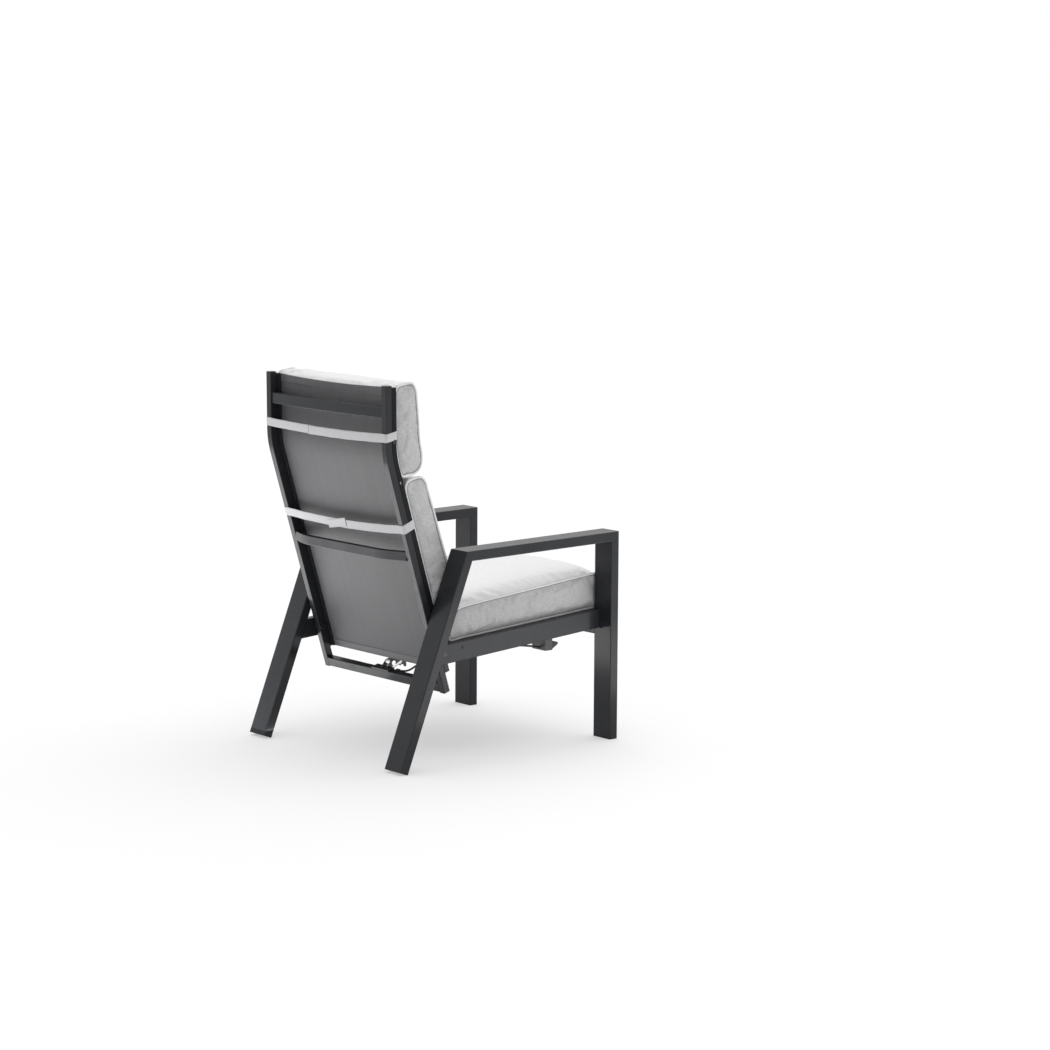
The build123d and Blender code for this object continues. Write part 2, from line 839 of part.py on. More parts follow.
def make_straps():
    """Fabric straps that hold the two loose cushions, the lower one with its overlapped end."""
    plane = Plane(origin=top_point(head_strap_above_bend, 0), x_dir=across, z_dir=top_up)
    add("head_strap", strap(plane))
    plane = lean_view(back_strap_above_pivot)
    add("back_strap", strap(plane))
    rear = post_size / 2 + strap_gap + strap_thickness
    lap = Pos(strap_joint_centre, rear + strap_thickness / 2) * Rectangle(strap_joint_length, strap_thickness)
    add("back_strap_lap", extrude(plane * lap, strap_width / 2, both=True))


# Gas spring, drawn along its own axis from the rear pin to the front pin
rear_pin = pivot - backward * rear_pin_ahead - up * rear_pin_below
front_pin = Vector(0, spring_tube_back + front_pin_behind, spring_tube_bottom - front_pin_below)
spring_length = (front_pin - rear_pin).length
spring_run = (front_pin - rear_pin).normalized()
spring_down = -right_of(spring_run)
cylinder_back = head_length + rod_shown
cylinder_front = spring_length - eye_radius - eye_neck
piston_back = cylinder_back + guide_length + piston_gap
spring_bore = cylinder_radius - cylinder_wall


def spring_point(distance, below=0):
    """Point along the spring's axis from the rear pin, and square below it."""
    return rear_pin + spring_run * distance + spring_down * below


def along_spring(start, end, radius):
    """Round bar on the spring's axis."""
    return rod(spring_point(start), spring_point(end), radius)


def make_spring():
    """Head, rod and piston on the rear pin; cylinder, rod guide and eye at the front."""
    half = head_width / 2
    corners = [
        spring_point(head_shoulder, head_height / 2),
        spring_point(head_shoulder, -head_height / 2),
        spring_point(head_length, -head_height / 2),
        spring_point(head_length, head_height / 2),
    ]
    head = hull_plate([(rear_pin, head_eye_radius)], corners, -half, half)
    head -= pin(rear_pin, spring_pin_radius + running_clearance, -head_width, head_width)
    release_pivot = spring_point(release_pivot_distance)
    head -= pin(release_pivot, release_pin_radius + running_clearance, -head_width, head_width)
    rod_start = head_length - rod_spigot
    spigot_start = release_pivot_distance + release_pin_radius + running_clearance
    rod_start = max(rod_start, spigot_start + running_clearance)
    head -= along_spring(rod_start, head_length + overrun, rod_radius + running_clearance)
    add("release_head", head)
    add("piston_rod", along_spring(rod_start, piston_back, rod_radius))
    piston = along_spring(piston_back, piston_back + piston_length, spring_bore - running_clearance)
    add("piston", piston)

    tube = along_spring(cylinder_back, cylinder_front, cylinder_radius)
    tube -= along_spring(cylinder_back - overrun, cylinder_front - cylinder_end, spring_bore)
    add("spring_cylinder", tube)
    guide = along_spring(cylinder_back - guide_flange, cylinder_back, cylinder_radius)
    guide += along_spring(cylinder_back, cylinder_back + guide_length, spring_bore)
    guide -= along_spring(0, piston_back, rod_radius + running_clearance)
    add("rod_guide", guide)
    eye = pin(front_pin, eye_radius, -eye_width / 2, eye_width / 2)
    eye += along_spring(cylinder_front, spring_length - eye_bore_radius, eye_neck_radius)
    eye -= pin(front_pin, eye_bore_radius, -head_width, head_width)
    add("front_eye", eye)


def make_spring_brackets():
    """Welded brackets for the two spring pins, on the bottom bar and on the spring tube."""
    inner = head_width / 2 + ear_gap
    outer = inner + ear_thickness
    low = -post_below_pivot + bottom_bar_height
    plate_front = post_size / 2 + base_plate_overhang
    plate = [
        back_point(low, -post_size / 2),
        back_point(low, plate_front),
        back_point(low + base_plate, plate_front),
        back_point(low + base_plate, -post_size / 2),
    ]
    bracket = side_view(plate, -base_plate_right, base_plate_left)
    arm_tip = rear_pin - backward * arm_tip_ahead + up * arm_tip_above
    circles = [(rear_pin, ear_boss_radius), (arm_tip, arm_tip_radius)]
    for start, end in ((inner, outer), (-outer, -inner)):
        bracket += hull_plate(circles, plate[1:3] + [back_point(low + base_plate, 0)], start, end)
    bracket -= pin(rear_pin, spring_pin_radius + running_clearance, -chair_width, chair_width)
    add("rear_spring_bracket", bracket)
    sizes = (spring_pin_radius, spring_pin_head_radius, spring_pin_head)
    add("rear_spring_pin", headed_pin(rear_pin, *sizes, -outer - face_gap, outer + face_gap))

    inner = eye_width / 2 + 2 * ear_gap
    outer = inner + ear_thickness
    face_y = spring_tube_back + front_bracket_plate
    top = spring_tube_bottom + spring_tube_size
    back_plate = [
        Vector(0, spring_tube_back, spring_tube_bottom),
        Vector(0, spring_tube_back, top),
        Vector(0, face_y, top),
        Vector(0, face_y, spring_tube_bottom),
    ]
    bracket = side_view(back_plate, -outer, outer)
    for start, end in ((inner, outer), (-outer, -inner)):
        bracket += hull_plate([(front_pin, ear_boss_radius)], back_plate[2:], start, end)
    bracket -= pin(front_pin, spring_pin_radius + running_clearance, -chair_width, chair_width)
    add("front_spring_bracket", bracket)
    add("front_spring_pin", headed_pin(front_pin, *sizes, -outer - face_gap, outer + face_gap))


release_bridge_depth = head_height / 2 + release_head_gap + release_bridge / 2


def make_release_arm():
    """Forked arm on the spring's head, with the bridge that the cable pulls, and its pin."""
    centre = spring_point(release_pivot_distance)
    toe = spring_point(release_pivot_distance, release_reach)
    inner = head_width / 2 + release_gap
    outer = inner + release_cheek
    arm = None
    for start, end in ((inner, outer), (-outer, -inner)):
        cheek = hull_plate([(centre, release_cheek_radius), (toe, release_toe_radius)], [], start, end)
        arm = cheek if arm is None else arm + cheek
    half = release_toe_radius
    top = head_height / 2 + release_head_gap
    bridge = [
        spring_point(release_pivot_distance - half, top),
        spring_point(release_pivot_distance + half, top),
        spring_point(release_pivot_distance + half, top + release_bridge),
        spring_point(release_pivot_distance - half, top + release_bridge),
    ]
    arm += side_view(bridge, -outer, outer)
    arm -= pin(centre, release_pin_radius + running_clearance, -chair_width, chair_width)
    add("release_arm", arm)
    add("release_arm_pin", pin(centre, release_pin_radius, -outer, outer))


# Hand lever, in the side view and on the right side of the chair
lever_pin = Vector(0, lever_pin_y, lever_pin_z)
lever_run = direction(-90 + lever_rise)
lever_up = right_of(lever_run)
bracket_outer_x = -frame_inner_x
lever_low_x = bracket_outer_x + lever_bracket_sheet + lever_side_gap
lever_high_x = lever_low_x + lever_width
bracket_inner_x = lever_high_x + lever_side_gap + lever_bracket_sheet
bracket_front_y = lever_pin_y - lever_bracket_front
bracket_back_y = lever_pin_y + lever_bracket_back
bracket_bottom_z = lever_pin_z - lever_root_drop
bracket_bridge_z = lever_pin_z + lever_headroom
bracket_top_z = rail_top(lever_pin_y) - rail_height / 2


def lever_point(distance, below):
    """Point along the lever from its pin, and square below that line."""
    return lever_pin + lever_run * distance - lever_up * below


def lever_belly(distance):
    """How far the lever's underside lies below the line from its pin."""
    share = (distance - lever_root_drop) / (lever_length - lever_root_drop)
    return lever_root_drop + (lever_tip_thickness / 2 - lever_root_drop) * share


def make_lever():
    """Moulded paddle with ribbed pockets above, turning on its pin."""
    tip = lever_point(lever_length, 0)
    circles = [(tip, lever_tip_thickness / 2), (lever_pin, lever_hub_radius)]
    corners = [
        lever_point(-lever_hub_radius, lever_root_drop),
        lever_point(lever_root_drop, lever_root_drop),
        lever_point(0, 0),
    ]
    paddle = hull_plate(circles, corners, lever_low_x, lever_high_x)
    start = lever_hub_radius + lever_wall
    pitch = (lever_length - lever_tip_thickness - start) / lever_pockets
    for index in range(lever_pockets):
        low = start + index * pitch
        high = low + pitch - lever_wall
        pocket = [
            lever_point(low, lever_belly(low) - lever_wall),
            lever_point(high, lever_belly(high) - lever_wall),
            lever_point(high, -lever_root_drop),
            lever_point(low, -lever_root_drop),
        ]
        paddle -= side_view(pocket, lever_low_x + lever_wall, lever_high_x - lever_wall)
    paddle -= pin(lever_pin, lever_pin_radius + running_clearance, -chair_width, chair_width)
    add("release_lever", paddle)
    low_x = bracket_outer_x + face_gap
    high_x = bracket_inner_x + face_gap
    shaft = pin(lever_pin, lever_pin_radius, low_x, high_x)
    shaft += pin(lever_pin, lever_pin_head_radius, high_x, high_x + lever_pin_head)
    add("lever_pin", shaft)


def make_lever_bracket():
    """Folded bracket riveted inside the right rail, with a stop for the cable behind the lever."""
    sheet = lever_bracket_sheet
    section = [
        (bracket_outer_x, bracket_bottom_z),
        (bracket_outer_x, bracket_top_z),
        (bracket_outer_x + sheet, bracket_top_z),
        (bracket_outer_x + sheet, bracket_bridge_z + sheet),
        (bracket_inner_x, bracket_bridge_z + sheet),
        (bracket_inner_x, bracket_bottom_z),
        (bracket_inner_x - sheet, bracket_bottom_z),
        (bracket_inner_x - sheet, bracket_bridge_z),
        (bracket_outer_x + sheet, bracket_bridge_z),
        (bracket_outer_x + sheet, bracket_bottom_z),
    ]
    plane = Plane(origin=backward * bracket_front_y, x_dir=across, z_dir=-backward)
    length = bracket_back_y - bracket_front_y
    bracket = extrude(plane * Polygon(*section, align=None), length, dir=backward)
    corner = Vector(bracket_outer_x, bracket_back_y, bracket_bottom_z)
    wide = bracket_inner_x - bracket_outer_x
    stop = Box(wide, sheet, bracket_bridge_z + sheet - bracket_bottom_z, align=Align.MIN)
    bracket += Pos(corner) * stop
    start = Vector(*cable_route[0])
    bracket -= rod(start - backward * overrun, start + backward * overrun, wire_radius + hole_clearance)
    bracket -= pin(lever_pin, lever_pin_radius + running_clearance, -chair_width, 0)
    hole = rivet_radius + hole_clearance
    for point in rivet_points:
        bracket -= pin(point, hole, -chair_width, 0)
    add("lever_bracket", bracket)

    rivets = []
    for point in rivet_points:
        rivet = pin(point, rivet_radius, bracket_outer_x - rail_wall, bracket_outer_x + sheet)
        head_x = bracket_outer_x + sheet
        rivets.append(rivet + pin(point, rivet_head_radius, head_x, head_x + rivet_head))
    add("lever_bracket_rivets", *rivets)


rivet_z = (bracket_bridge_z + lever_bracket_sheet + bracket_top_z) / 2
rivet_points = [
    Vector(0, bracket_front_y + rivet_inset, rivet_z),
    Vector(0, bracket_back_y - rivet_inset, rivet_z),
]

# Release cable: its clip sits on the front face of the bottom bar
clip_ahead = post_size / 2 + cable_radius + clip_wall
clip_point = back_point(-post_below_pivot + clip_up_bar, clip_ahead)
lever_wire_x = (lever_low_x + lever_high_x) / 2
cable_route = [
    (lever_wire_x, bracket_back_y + lever_bracket_sheet, 266.0),
    (lever_wire_x, 226.0, 269.5),
    (lever_wire_x, 252.0, 270.5),
    (lever_wire_x + 1.0, 284.0, 275.0),
    (lever_wire_x + 3.0, 320.0, 280.5),
    (lever_wire_x + 7.0, 360.0, 283.0),
    (lever_wire_x + 16.0, 402.0, 281.0),
    (lever_wire_x + 50.0, 444.0, 276.0),
    (lever_wire_x + 94.0, 478.0, 267.0),
    (clip_low_x - 64.5, 502.0, 248.0),
    (clip_low_x - 45.5, 519.0, 228.0),
    (clip_low_x - 30.5, 530.0, 215.0),
    (clip_low_x - 10.5, clip_point.Y, clip_point.Z),
    (clip_low_x + clip_length + 1.0, clip_point.Y, clip_point.Z),
]
wire_route = [
    cable_route[-1],
    (-22.0, clip_point.Y, clip_point.Z),
    (-9.5, 531.0, 209.5),
    (-1.5, 522.0, 211.5),
]


arc_share = 0.45


def held_tube(route, radius):
    """Round tube along a route, straight runs joined by arcs as large as their runs allow."""
    points = [Vector(*point) for point in route]
    runs = [end - start for start, end in zip(points, points[1:])]
    radii = []
    for before, after in zip(runs, runs[1:]):
        turn = radians(before.get_angle(after))
        radii.append(arc_share * min(before.length, after.length) / tan(turn / 2))
    print("bend radii", [round(value, 1) for value in radii])
    path = FilletPolyline(*points, radius=radii)
    plane = Plane(origin=points[0], z_dir=runs[0])
    tube = sweep(plane * Circle(radius), path=path)
    print("volume over section times length", tube.volume / (Circle(radius).area * path.length))
    return tube


def make_cable():
    """Cable from the hand lever to its clip, and the bare wire on to the release arm."""
    add("release_cable", held_tube(cable_route, cable_radius))
    toe = release_pivot_distance - release_toe_radius - face_gap
    ends = [spring_point(toe - wire_last_run, release_bridge_depth), spring_point(toe, release_bridge_depth)]
    add("release_wire", held_tube(wire_route + [tuple(point) for point in ends], wire_radius))
    start = at_x(clip_point, clip_low_x)
    end = at_x(clip_point, clip_low_x + clip_length)
    clip = rod(start, end, cable_radius + clip_wall)
    plane = Plane(origin=start, x_dir=back_rear, z_dir=across)
    foot_length = clip_ahead - post_size / 2
    foot = Pos(foot_length / 2, 0) * Rectangle(foot_length, 2 * clip_wall)
    clip += prism(plane, foot, clip_length)
    clip -= rod(start, end, cable_radius + hole_clearance)
    add("cable_clip", clip)


def make_all():
    """Make every piece of the chair."""
    make_side_frames()
    make_seat_rails()
    make_cross_members()
    make_seat_sling()
    make_posts()
    make_pivot_bolts()
    make_back_sling()
    make_cross_bars()
    make_cushions()
    make_straps()
    make_spring()
    make_spring_brackets()
    make_release_arm()
    make_lever()
    make_lever_bracket()
    make_cable()


make_all()
for name, solids in pieces.items():
    placed = [Pos(0, -chair_depth / 2, 0) * solid for solid in solids]
    export_step(placed[0] if len(placed) == 1 else Compound(children=placed), f"parts/{name}.step")
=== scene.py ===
"""Looks of the reclining garden armchair: powder-coated flat tube, mesh slings and piped cushions.

Shapes are worked out in millimetres on the chair's own drawing, where y runs back from the front face
of the front legs, z runs up from the floor and x is 0 in the middle.  placed() turns such points into
metres of the row frame.
"""

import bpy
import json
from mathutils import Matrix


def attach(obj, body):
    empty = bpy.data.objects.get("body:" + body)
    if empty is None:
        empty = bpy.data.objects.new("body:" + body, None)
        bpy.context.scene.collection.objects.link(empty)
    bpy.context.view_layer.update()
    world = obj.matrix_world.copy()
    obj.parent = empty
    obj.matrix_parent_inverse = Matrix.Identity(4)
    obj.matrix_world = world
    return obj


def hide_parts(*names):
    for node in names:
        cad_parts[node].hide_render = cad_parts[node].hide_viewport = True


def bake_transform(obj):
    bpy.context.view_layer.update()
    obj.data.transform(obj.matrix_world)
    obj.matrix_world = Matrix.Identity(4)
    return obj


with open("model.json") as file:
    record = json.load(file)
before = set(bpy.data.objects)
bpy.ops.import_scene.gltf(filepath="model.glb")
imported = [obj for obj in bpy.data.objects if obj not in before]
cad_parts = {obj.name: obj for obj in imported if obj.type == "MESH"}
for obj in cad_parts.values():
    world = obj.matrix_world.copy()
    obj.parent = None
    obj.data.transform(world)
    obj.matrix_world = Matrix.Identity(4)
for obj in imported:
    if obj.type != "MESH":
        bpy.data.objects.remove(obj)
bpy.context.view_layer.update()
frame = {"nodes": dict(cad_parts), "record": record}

import json
from math import cos, pi, radians, sin, tan

import bmesh
import bpy
import numpy as np
from mathutils import Matrix, Vector

scene = bpy.context.scene
scene.view_settings.view_transform = "Standard"

# Sizes of the frame that the soft pieces lie on
chair_depth = 763.934
pivot = np.array([579.976, 297.514])
back_lean = radians(16.86)
top_lean = radians(0.6)
post_bend_distance = 558.5
post_bend_radius = 220.0
post_above_bend = 186.0
post_half = 10.0
post_outer_x = 265.0
channel_ahead = 24.0
channel_inner_x = 235.0
back_sling_ahead = 20.0
back_sling_half_width = 237.5
back_sling_low = -63.0
back_sling_high = 182.0
rail_front_top = 361.5
rail_front_y = 27.2
rail_slope = radians(4.1)
seat_channel_x = 258.0
seat_channel_drop = 5.0
seat_sling_drop = 10.5
seat_sling_half_width = 260.5
seat_sling_front = 33.2
seat_sling_back = 503.9
front_rail_top = 358.4
sling_thickness = 1.0
soft_gap = 0.4


def placed(x, y, z):
    """Points of the drawing in millimetres as an array of row frame points in metres."""
    x, y, z = np.broadcast_arrays(x, y, z)
    return np.stack([x, y - chair_depth / 2, z], axis=-1) * 0.001


# Post line: straight, an arc round the bend, straight again, by distance from the pivot
bend_turn = back_lean - top_lean
arc_tangent = post_bend_radius * tan(bend_turn / 2)
arc_start = post_bend_distance - arc_tangent
arc_end = arc_start + post_bend_radius * bend_turn


def above_bend(height):
    """Distance from the pivot of a place that height above the corner of the bend."""
    return arc_end + height - arc_tangent


post_top = above_bend(post_above_bend)


def post_line(distance):
    """Points (y, z) of the posts' centre line and the unit vectors square to it, to the rear."""
    distance = np.asarray(distance, float)
    up = np.array([sin(back_lean), cos(back_lean)])
    rear = np.array([cos(back_lean), -sin(back_lean)])
    turned = np.clip((distance - arc_start) / post_bend_radius, 0, bend_turn)
    lean = back_lean - turned
    along = np.stack([np.sin(lean), np.cos(lean)], axis=-1)
    square = np.stack([np.cos(lean), -np.sin(lean)], axis=-1)
    straight = np.minimum(distance, arc_start)[..., None] * up
    curved = post_bend_radius * (
        np.sin(turned)[..., None] * up - (1 - np.cos(turned))[..., None] * rear
    )
    beyond = np.maximum(distance - arc_end, 0)[..., None] * along
    return pivot + straight + curved + beyond, square


def back_surface(distance, ahead):
    """Points (y, z) at a distance up the posts from the pivot and ahead of their centre line."""
    centre, square = post_line(distance)
    return centre - square * np.asarray(ahead, float)[..., None]


def back_depth(y, z):
    """How far points lie ahead of the posts' centre line, and the vector square to it there."""
    centre, square = post_line(np.linspace(-120, post_top + 60, 260))
    apart = np.stack([y, z], axis=-1)[:, None, :] - centre[None]
    nearest = np.argmin((apart**2).sum(-1), axis=1)
    square = square[nearest]
    apart = np.stack([y, z], axis=-1) - centre[nearest]
    return -(apart * square).sum(-1), square


def rail_top(y):
    """Height of the seat rails' top face."""
    return rail_front_top - (y - rail_front_y) * tan(rail_slope)


# Mesh helpers


def grid_faces(rows, columns, closed_rows=False, closed_columns=False):
    """Quads of a grid of points numbered row by row."""
    row = np.arange(rows if closed_rows else rows - 1)
    column = np.arange(columns if closed_columns else columns - 1)
    row, column = np.meshgrid(row, column, indexing="ij")
    next_row = (row + 1) % rows
    next_column = (column + 1) % columns
    corners = [
        row * columns + column,
        row * columns + next_column,
        next_row * columns + next_column,
        next_row * columns + column,
    ]
    return np.stack(corners, axis=-1).reshape(-1, 4)


def linked(name, data):
    """New object of the scene round some data."""
    holder = bpy.data.objects.new(name, data)
    scene.collection.objects.link(holder)
    return holder


def finished_form(piece):
    """A piece as its modifiers leave it."""
    return piece.evaluated_get(bpy.context.evaluated_depsgraph_get())


def make_piece(name, points, faces, finish, cloth=None):
    """Object from points in metres; cloth holds each point's place on the flat fabric in metres."""
    mesh = bpy.data.meshes.new(name)
    corners = np.asarray(points, float).reshape(-1, 3).tolist()
    mesh.from_pydata(corners, [], [list(face) for face in faces])
    mesh.update()
    mesh.shade_smooth()
    piece = linked(name, mesh)
    mesh.materials.append(finish)
    if cloth is not None:
        write_cloth(piece, cloth)
    return piece


def write_cloth(piece, cloth):
    """Keep each point's place on the flat fabric as the attribute that the fabric finishes read."""
    flat = np.zeros((len(piece.data.vertices), 3))
    flat[:, : cloth.shape[-1]] = cloth.reshape(len(flat), -1)
    attribute = piece.data.attributes.new("cloth_at", "FLOAT_VECTOR", "POINT")
    attribute.data.foreach_set("vector", flat.astype(np.float32).ravel())


def vertex_array(piece, field="co"):
    """A vertex field of a piece's mesh as an array with three columns."""
    values = np.zeros(len(piece.data.vertices) * 3, np.float32)
    piece.data.vertices.foreach_get(field, values)
    return values.reshape(-1, 3).astype(float)


def even_loop(corners, count):
    """Closed Catmull-Rom line through corners, as count points evenly spaced along it."""
    corners = np.asarray(corners, float)
    share = np.linspace(0, 1, 24, endpoint=False)[None, :, None]
    rolled = (np.roll(corners, shift, axis=0)[:, None] for shift in (1, 0, -1, -2))
    before, start, end, after = rolled
    dense = 0.5 * (
        2 * start
        + (end - before) * share
        + (2 * before - 5 * start + 4 * end - after) * share**2
        + (3 * start - before - 3 * end + after) * share**3
    )
    dense = dense.reshape(-1, corners.shape[1])
    return resample(np.vstack([dense, dense[:1]]), count + 1)[:-1]


def resample(line, count):
    """Points evenly spaced along a line."""
    length = travelled(line)
    wanted = np.linspace(0, length[-1], count)
    return np.stack([np.interp(wanted, length, values) for values in line.T], axis=-1)


def travelled(line):
    """Distance along a line of each of its points from the first one."""
    return np.cumsum(np.linalg.norm(np.diff(line, axis=0, prepend=line[:1]), axis=1))


def unit(vectors):
    """Vectors at length 1."""
    return vectors / np.linalg.norm(vectors, axis=-1, keepdims=True)


def tube(name, path, radius, finish, closed, side_way, sides=10):
    """Round tube on a path in millimetres: a circle square to the path at each of its points."""
    if closed:
        along = unit(np.roll(path, -1, axis=0) - np.roll(path, 1, axis=0))
    else:
        along = unit(np.gradient(path, axis=0))
    first = unit(side_way - (along @ side_way)[:, None] * along)
    second = np.cross(along, first)
    angle = np.linspace(0, 2 * pi, sides, endpoint=False)
    cosine, sine = np.cos(angle)[None, :, None], np.sin(angle)[None, :, None]
    points = path[:, None] + (first[:, None] * cosine + second[:, None] * sine) * radius
    faces = grid_faces(len(path), sides, closed_rows=closed, closed_columns=True)[:, ::-1].tolist()
    if not closed:
        faces.append(list(range(sides)))
        faces.append(list(range(len(path) * sides - 1, (len(path) - 1) * sides - 1, -1)))
    length = travelled(path)[:, None] + 0 * angle[None]
    cloth = np.stack([length, angle[None] * radius + 0 * length], axis=-1) * 0.001
    return make_piece(name, placed(*np.moveaxis(points, -1, 0)), faces, finish, cloth)


def thickened(piece, wall):
    """Give a sheet of cloth its wall, in metres, half on each side."""
    modifier = piece.modifiers.new("wall", "SOLIDIFY")
    modifier.thickness = wall
    modifier.offset = 0.0


# Finishes


class Wire:
    """A node's output that takes part in sums: each operator adds its Math node."""

    def __init__(self, finish, socket):
        self.finish = finish
        self.socket = socket

    def math(self, operation, *others):
        sockets = dict(enumerate((self, *others)))
        return self.finish.add("ShaderNodeMath", {"operation": operation}, sockets)

    def __add__(self, other):
        return self.math("ADD", other)

    def __sub__(self, other):
        return self.math("SUBTRACT", other)

    def __rsub__(self, other):
        return self.finish.add("ShaderNodeMath", {"operation": "SUBTRACT"}, {0: other, 1: self})

    def __mul__(self, other):
        return self.math("MULTIPLY", other)

    __radd__ = __add__
    __rmul__ = __mul__

    def __mod__(self, other):
        return self.math("FLOORED_MODULO", other)

    def floor(self):
        return self.math("FLOOR")

    def sine(self):
        return self.math("SINE")

    def absolute(self):
        return self.math("ABSOLUTE")

    def largest(self, other):
        return self.math("MAXIMUM", other)


class Shading:
    """The node tree of a material or of the world."""

    def __init__(self, owner):
        owner.use_nodes = True
        self.tree = owner.node_tree
        self.tree.nodes.clear()

    def add(self, kind, settings=None, sockets=None, output=0):
        """Add a node: its settings first, then the values or links of its sockets."""
        node = self.tree.nodes.new(kind)
        for name, value in (settings or {}).items():
            setattr(node, name, value)
        for name, value in (sockets or {}).items():
            if isinstance(value, Wire):
                self.tree.links.new(value.socket, node.inputs[name])
            else:
                node.inputs[name].default_value = value
        return Wire(self, node.outputs[output]) if node.outputs else None

    def looked_at(self):
        """1 for camera, glossy and transmission rays, and 0 for the light's other rays."""
        names = ("Is Camera Ray", "Is Glossy Ray", "Is Transmission Ray")
        camera, glossy, clear = (self.add("ShaderNodeLightPath", output=name) for name in names)
        return camera.largest(glossy).largest(clear)

    def blended(self, share, first, second):
        """Shader between two shaders."""
        return self.add("ShaderNodeMixShader", None, {0: share, 1: first, 2: second})


class Finish(Shading):
    """A node material round one Principled shader."""

    def __init__(self, name, **constants):
        self.material = bpy.data.materials.new(name)
        super().__init__(self.material)
        self.shader = self.tree.nodes.new("ShaderNodeBsdfPrincipled")
        self.output = self.tree.nodes.new("ShaderNodeOutputMaterial")
        self.tree.links.new(self.shader.outputs[0], self.output.inputs[0])
        for socket, value in constants.items():
            self.shader.inputs[socket.replace("_", " ")].default_value = value

    def set(self, socket, wire):
        """Link a wire to a socket of the Principled shader."""
        self.tree.links.new(wire.socket, self.shader.inputs[socket])

    def place(self):
        """Object coordinates in metres."""
        return self.add("ShaderNodeTexCoord", output="Object")

    def cloth(self):
        """Place on the flat fabric in metres."""
        return self.add("ShaderNodeAttribute", {"attribute_name": "cloth_at"}, output="Vector")

    def split(self, vector):
        """The three parts of a vector."""
        first = self.add("ShaderNodeSeparateXYZ", None, {0: vector})
        return [first] + [Wire(self, first.socket.node.outputs[index]) for index in (1, 2)]

    def join(self, x, y, z=0.0):
        """A vector from its three parts."""
        return self.add("ShaderNodeCombineXYZ", None, {0: x, 1: y, 2: z})

    def stretch(self, vector, x, y, z):
        """A vector with each part times a number."""
        sockets = {0: vector, 1: (x, y, z)}
        return self.add("ShaderNodeVectorMath", {"operation": "MULTIPLY"}, sockets)

    def noise(self, vector, scale, detail=2.0, rough=0.5):
        """Smooth noise between 0 and 1."""
        sockets = {"Vector": vector, "Scale": scale, "Detail": detail, "Roughness": rough}
        return self.add("ShaderNodeTexNoise", None, sockets)

    def ramp(self, value, low, high, start=0.0, end=1.0):
        """Smooth step from start to end while a value goes from low to high."""
        sockets = {"Value": value, "From Min": low, "From Max": high, "To Min": start, "To Max": end}
        return self.add("ShaderNodeMapRange", {"interpolation_type": "SMOOTHSTEP"}, sockets)

    def mix(self, share, first, second):
        """Colour between two colours."""
        sockets = {0: share, 6: self.colour(first), 7: self.colour(second)}
        return self.add("ShaderNodeMix", {"data_type": "RGBA"}, sockets, output=2)

    def colour(self, value):
        """A wire as it is, or three numbers with full alpha."""
        return value if isinstance(value, Wire) else (*value, 1.0)

    def done(self, colour, roughness, height, depth, strength=1.0):
        """The material, once a height between 0 and 1 stands for a depth in metres."""
        self.set("Base Color", colour)
        self.set("Roughness", roughness)
        sockets = {"Height": height, "Distance": depth, "Strength": strength}
        self.set("Normal", self.add("ShaderNodeBump", None, sockets))
        return self.material


# Painted shade: the near-black the coat is painted where it stands in shadow
painted_shade_coat = (0.005, 0.005, 0.006)


def coated_finish(name, low, high, coat, painted_shade_from=None, top=None):
    """Matt powder coat on aluminium: fine orange peel, slight cloudiness and a little dust.

    Beyond a distance in metres on both sides of the middle, or above the height top, the coat is
    painted darker and duller: painted shade for faces that lie in the shadow of nearby parts.
    """
    finish = Finish(name, IOR=1.5, Specular_IOR_Level=0.12, Coat_Roughness=0.16, Coat_IOR=1.5)
    at = finish.place()
    cloud = finish.noise(at, 9.0, 4.0, 0.6)
    peel = finish.noise(at, 1400.0, 3.0, 0.6)
    grain = finish.noise(at, 4200.0, 1.0)
    dust = finish.ramp(finish.noise(at, 38.0, 6.0, 0.7), 0.52, 0.78)
    body = finish.mix(finish.ramp(cloud, 0.3, 0.7), low, high)
    speck = finish.ramp(grain, 0.62, 0.75, 0.0, 0.3)
    body = finish.mix(speck, body, [value * 2.2 for value in high])
    body = finish.mix(dust * 0.1, body, (0.12, 0.118, 0.115))
    shine = coat - dust * 0.15 - peel * 0.1
    # Painted shade: darker, duller coat beyond the distance from the middle or above the height top
    if painted_shade_from or top:
        x, _, z = finish.split(at)
        if top:
            shade = finish.ramp(z, top - 0.0008, top)
        else:
            shade = finish.ramp(x.absolute(), painted_shade_from - 0.001, painted_shade_from + 0.001)
            shade = shade * finish.ramp(z, 0.27, 0.3)
        body = finish.mix(shade * 0.9, body, painted_shade_coat)
        shine = shine * (1 - shade * 0.9)
    finish.set("Coat Weight", shine)
    roughness = 0.46 + cloud * 0.08 + dust * 0.1 + peel * 0.05
    return finish.done(body, roughness, peel * 0.7 + grain * 0.3, 0.00009)


def moulded_finish():
    """Black moulded plastic with a fine spark-eroded grain and scuffed shine."""
    finish = Finish("black_moulded_plastic", IOR=1.46)
    at = finish.place()
    grain = finish.noise(at, 2600.0, 2.0)
    scuff = finish.ramp(finish.noise(at, 60.0, 5.0, 0.65), 0.45, 0.75)
    colour = finish.mix(scuff, (0.016, 0.016, 0.017), (0.035, 0.035, 0.036))
    return finish.done(colour, 0.42 + grain * 0.12 + scuff * 0.12, grain, 0.00008)


def painted_steel_finish():
    """Satin black paint on steel with faint runs."""
    finish = Finish("black_painted_steel", IOR=1.5)
    at = finish.place()
    flow = finish.noise(at, 120.0, 3.0)
    fine = finish.noise(at, 2000.0, 2.0)
    colour = finish.mix(flow, (0.014, 0.014, 0.016), (0.028, 0.028, 0.03))
    return finish.done(colour, 0.3 + flow * 0.14 + fine * 0.05, flow * 0.6 + fine * 0.4, 0.0001)


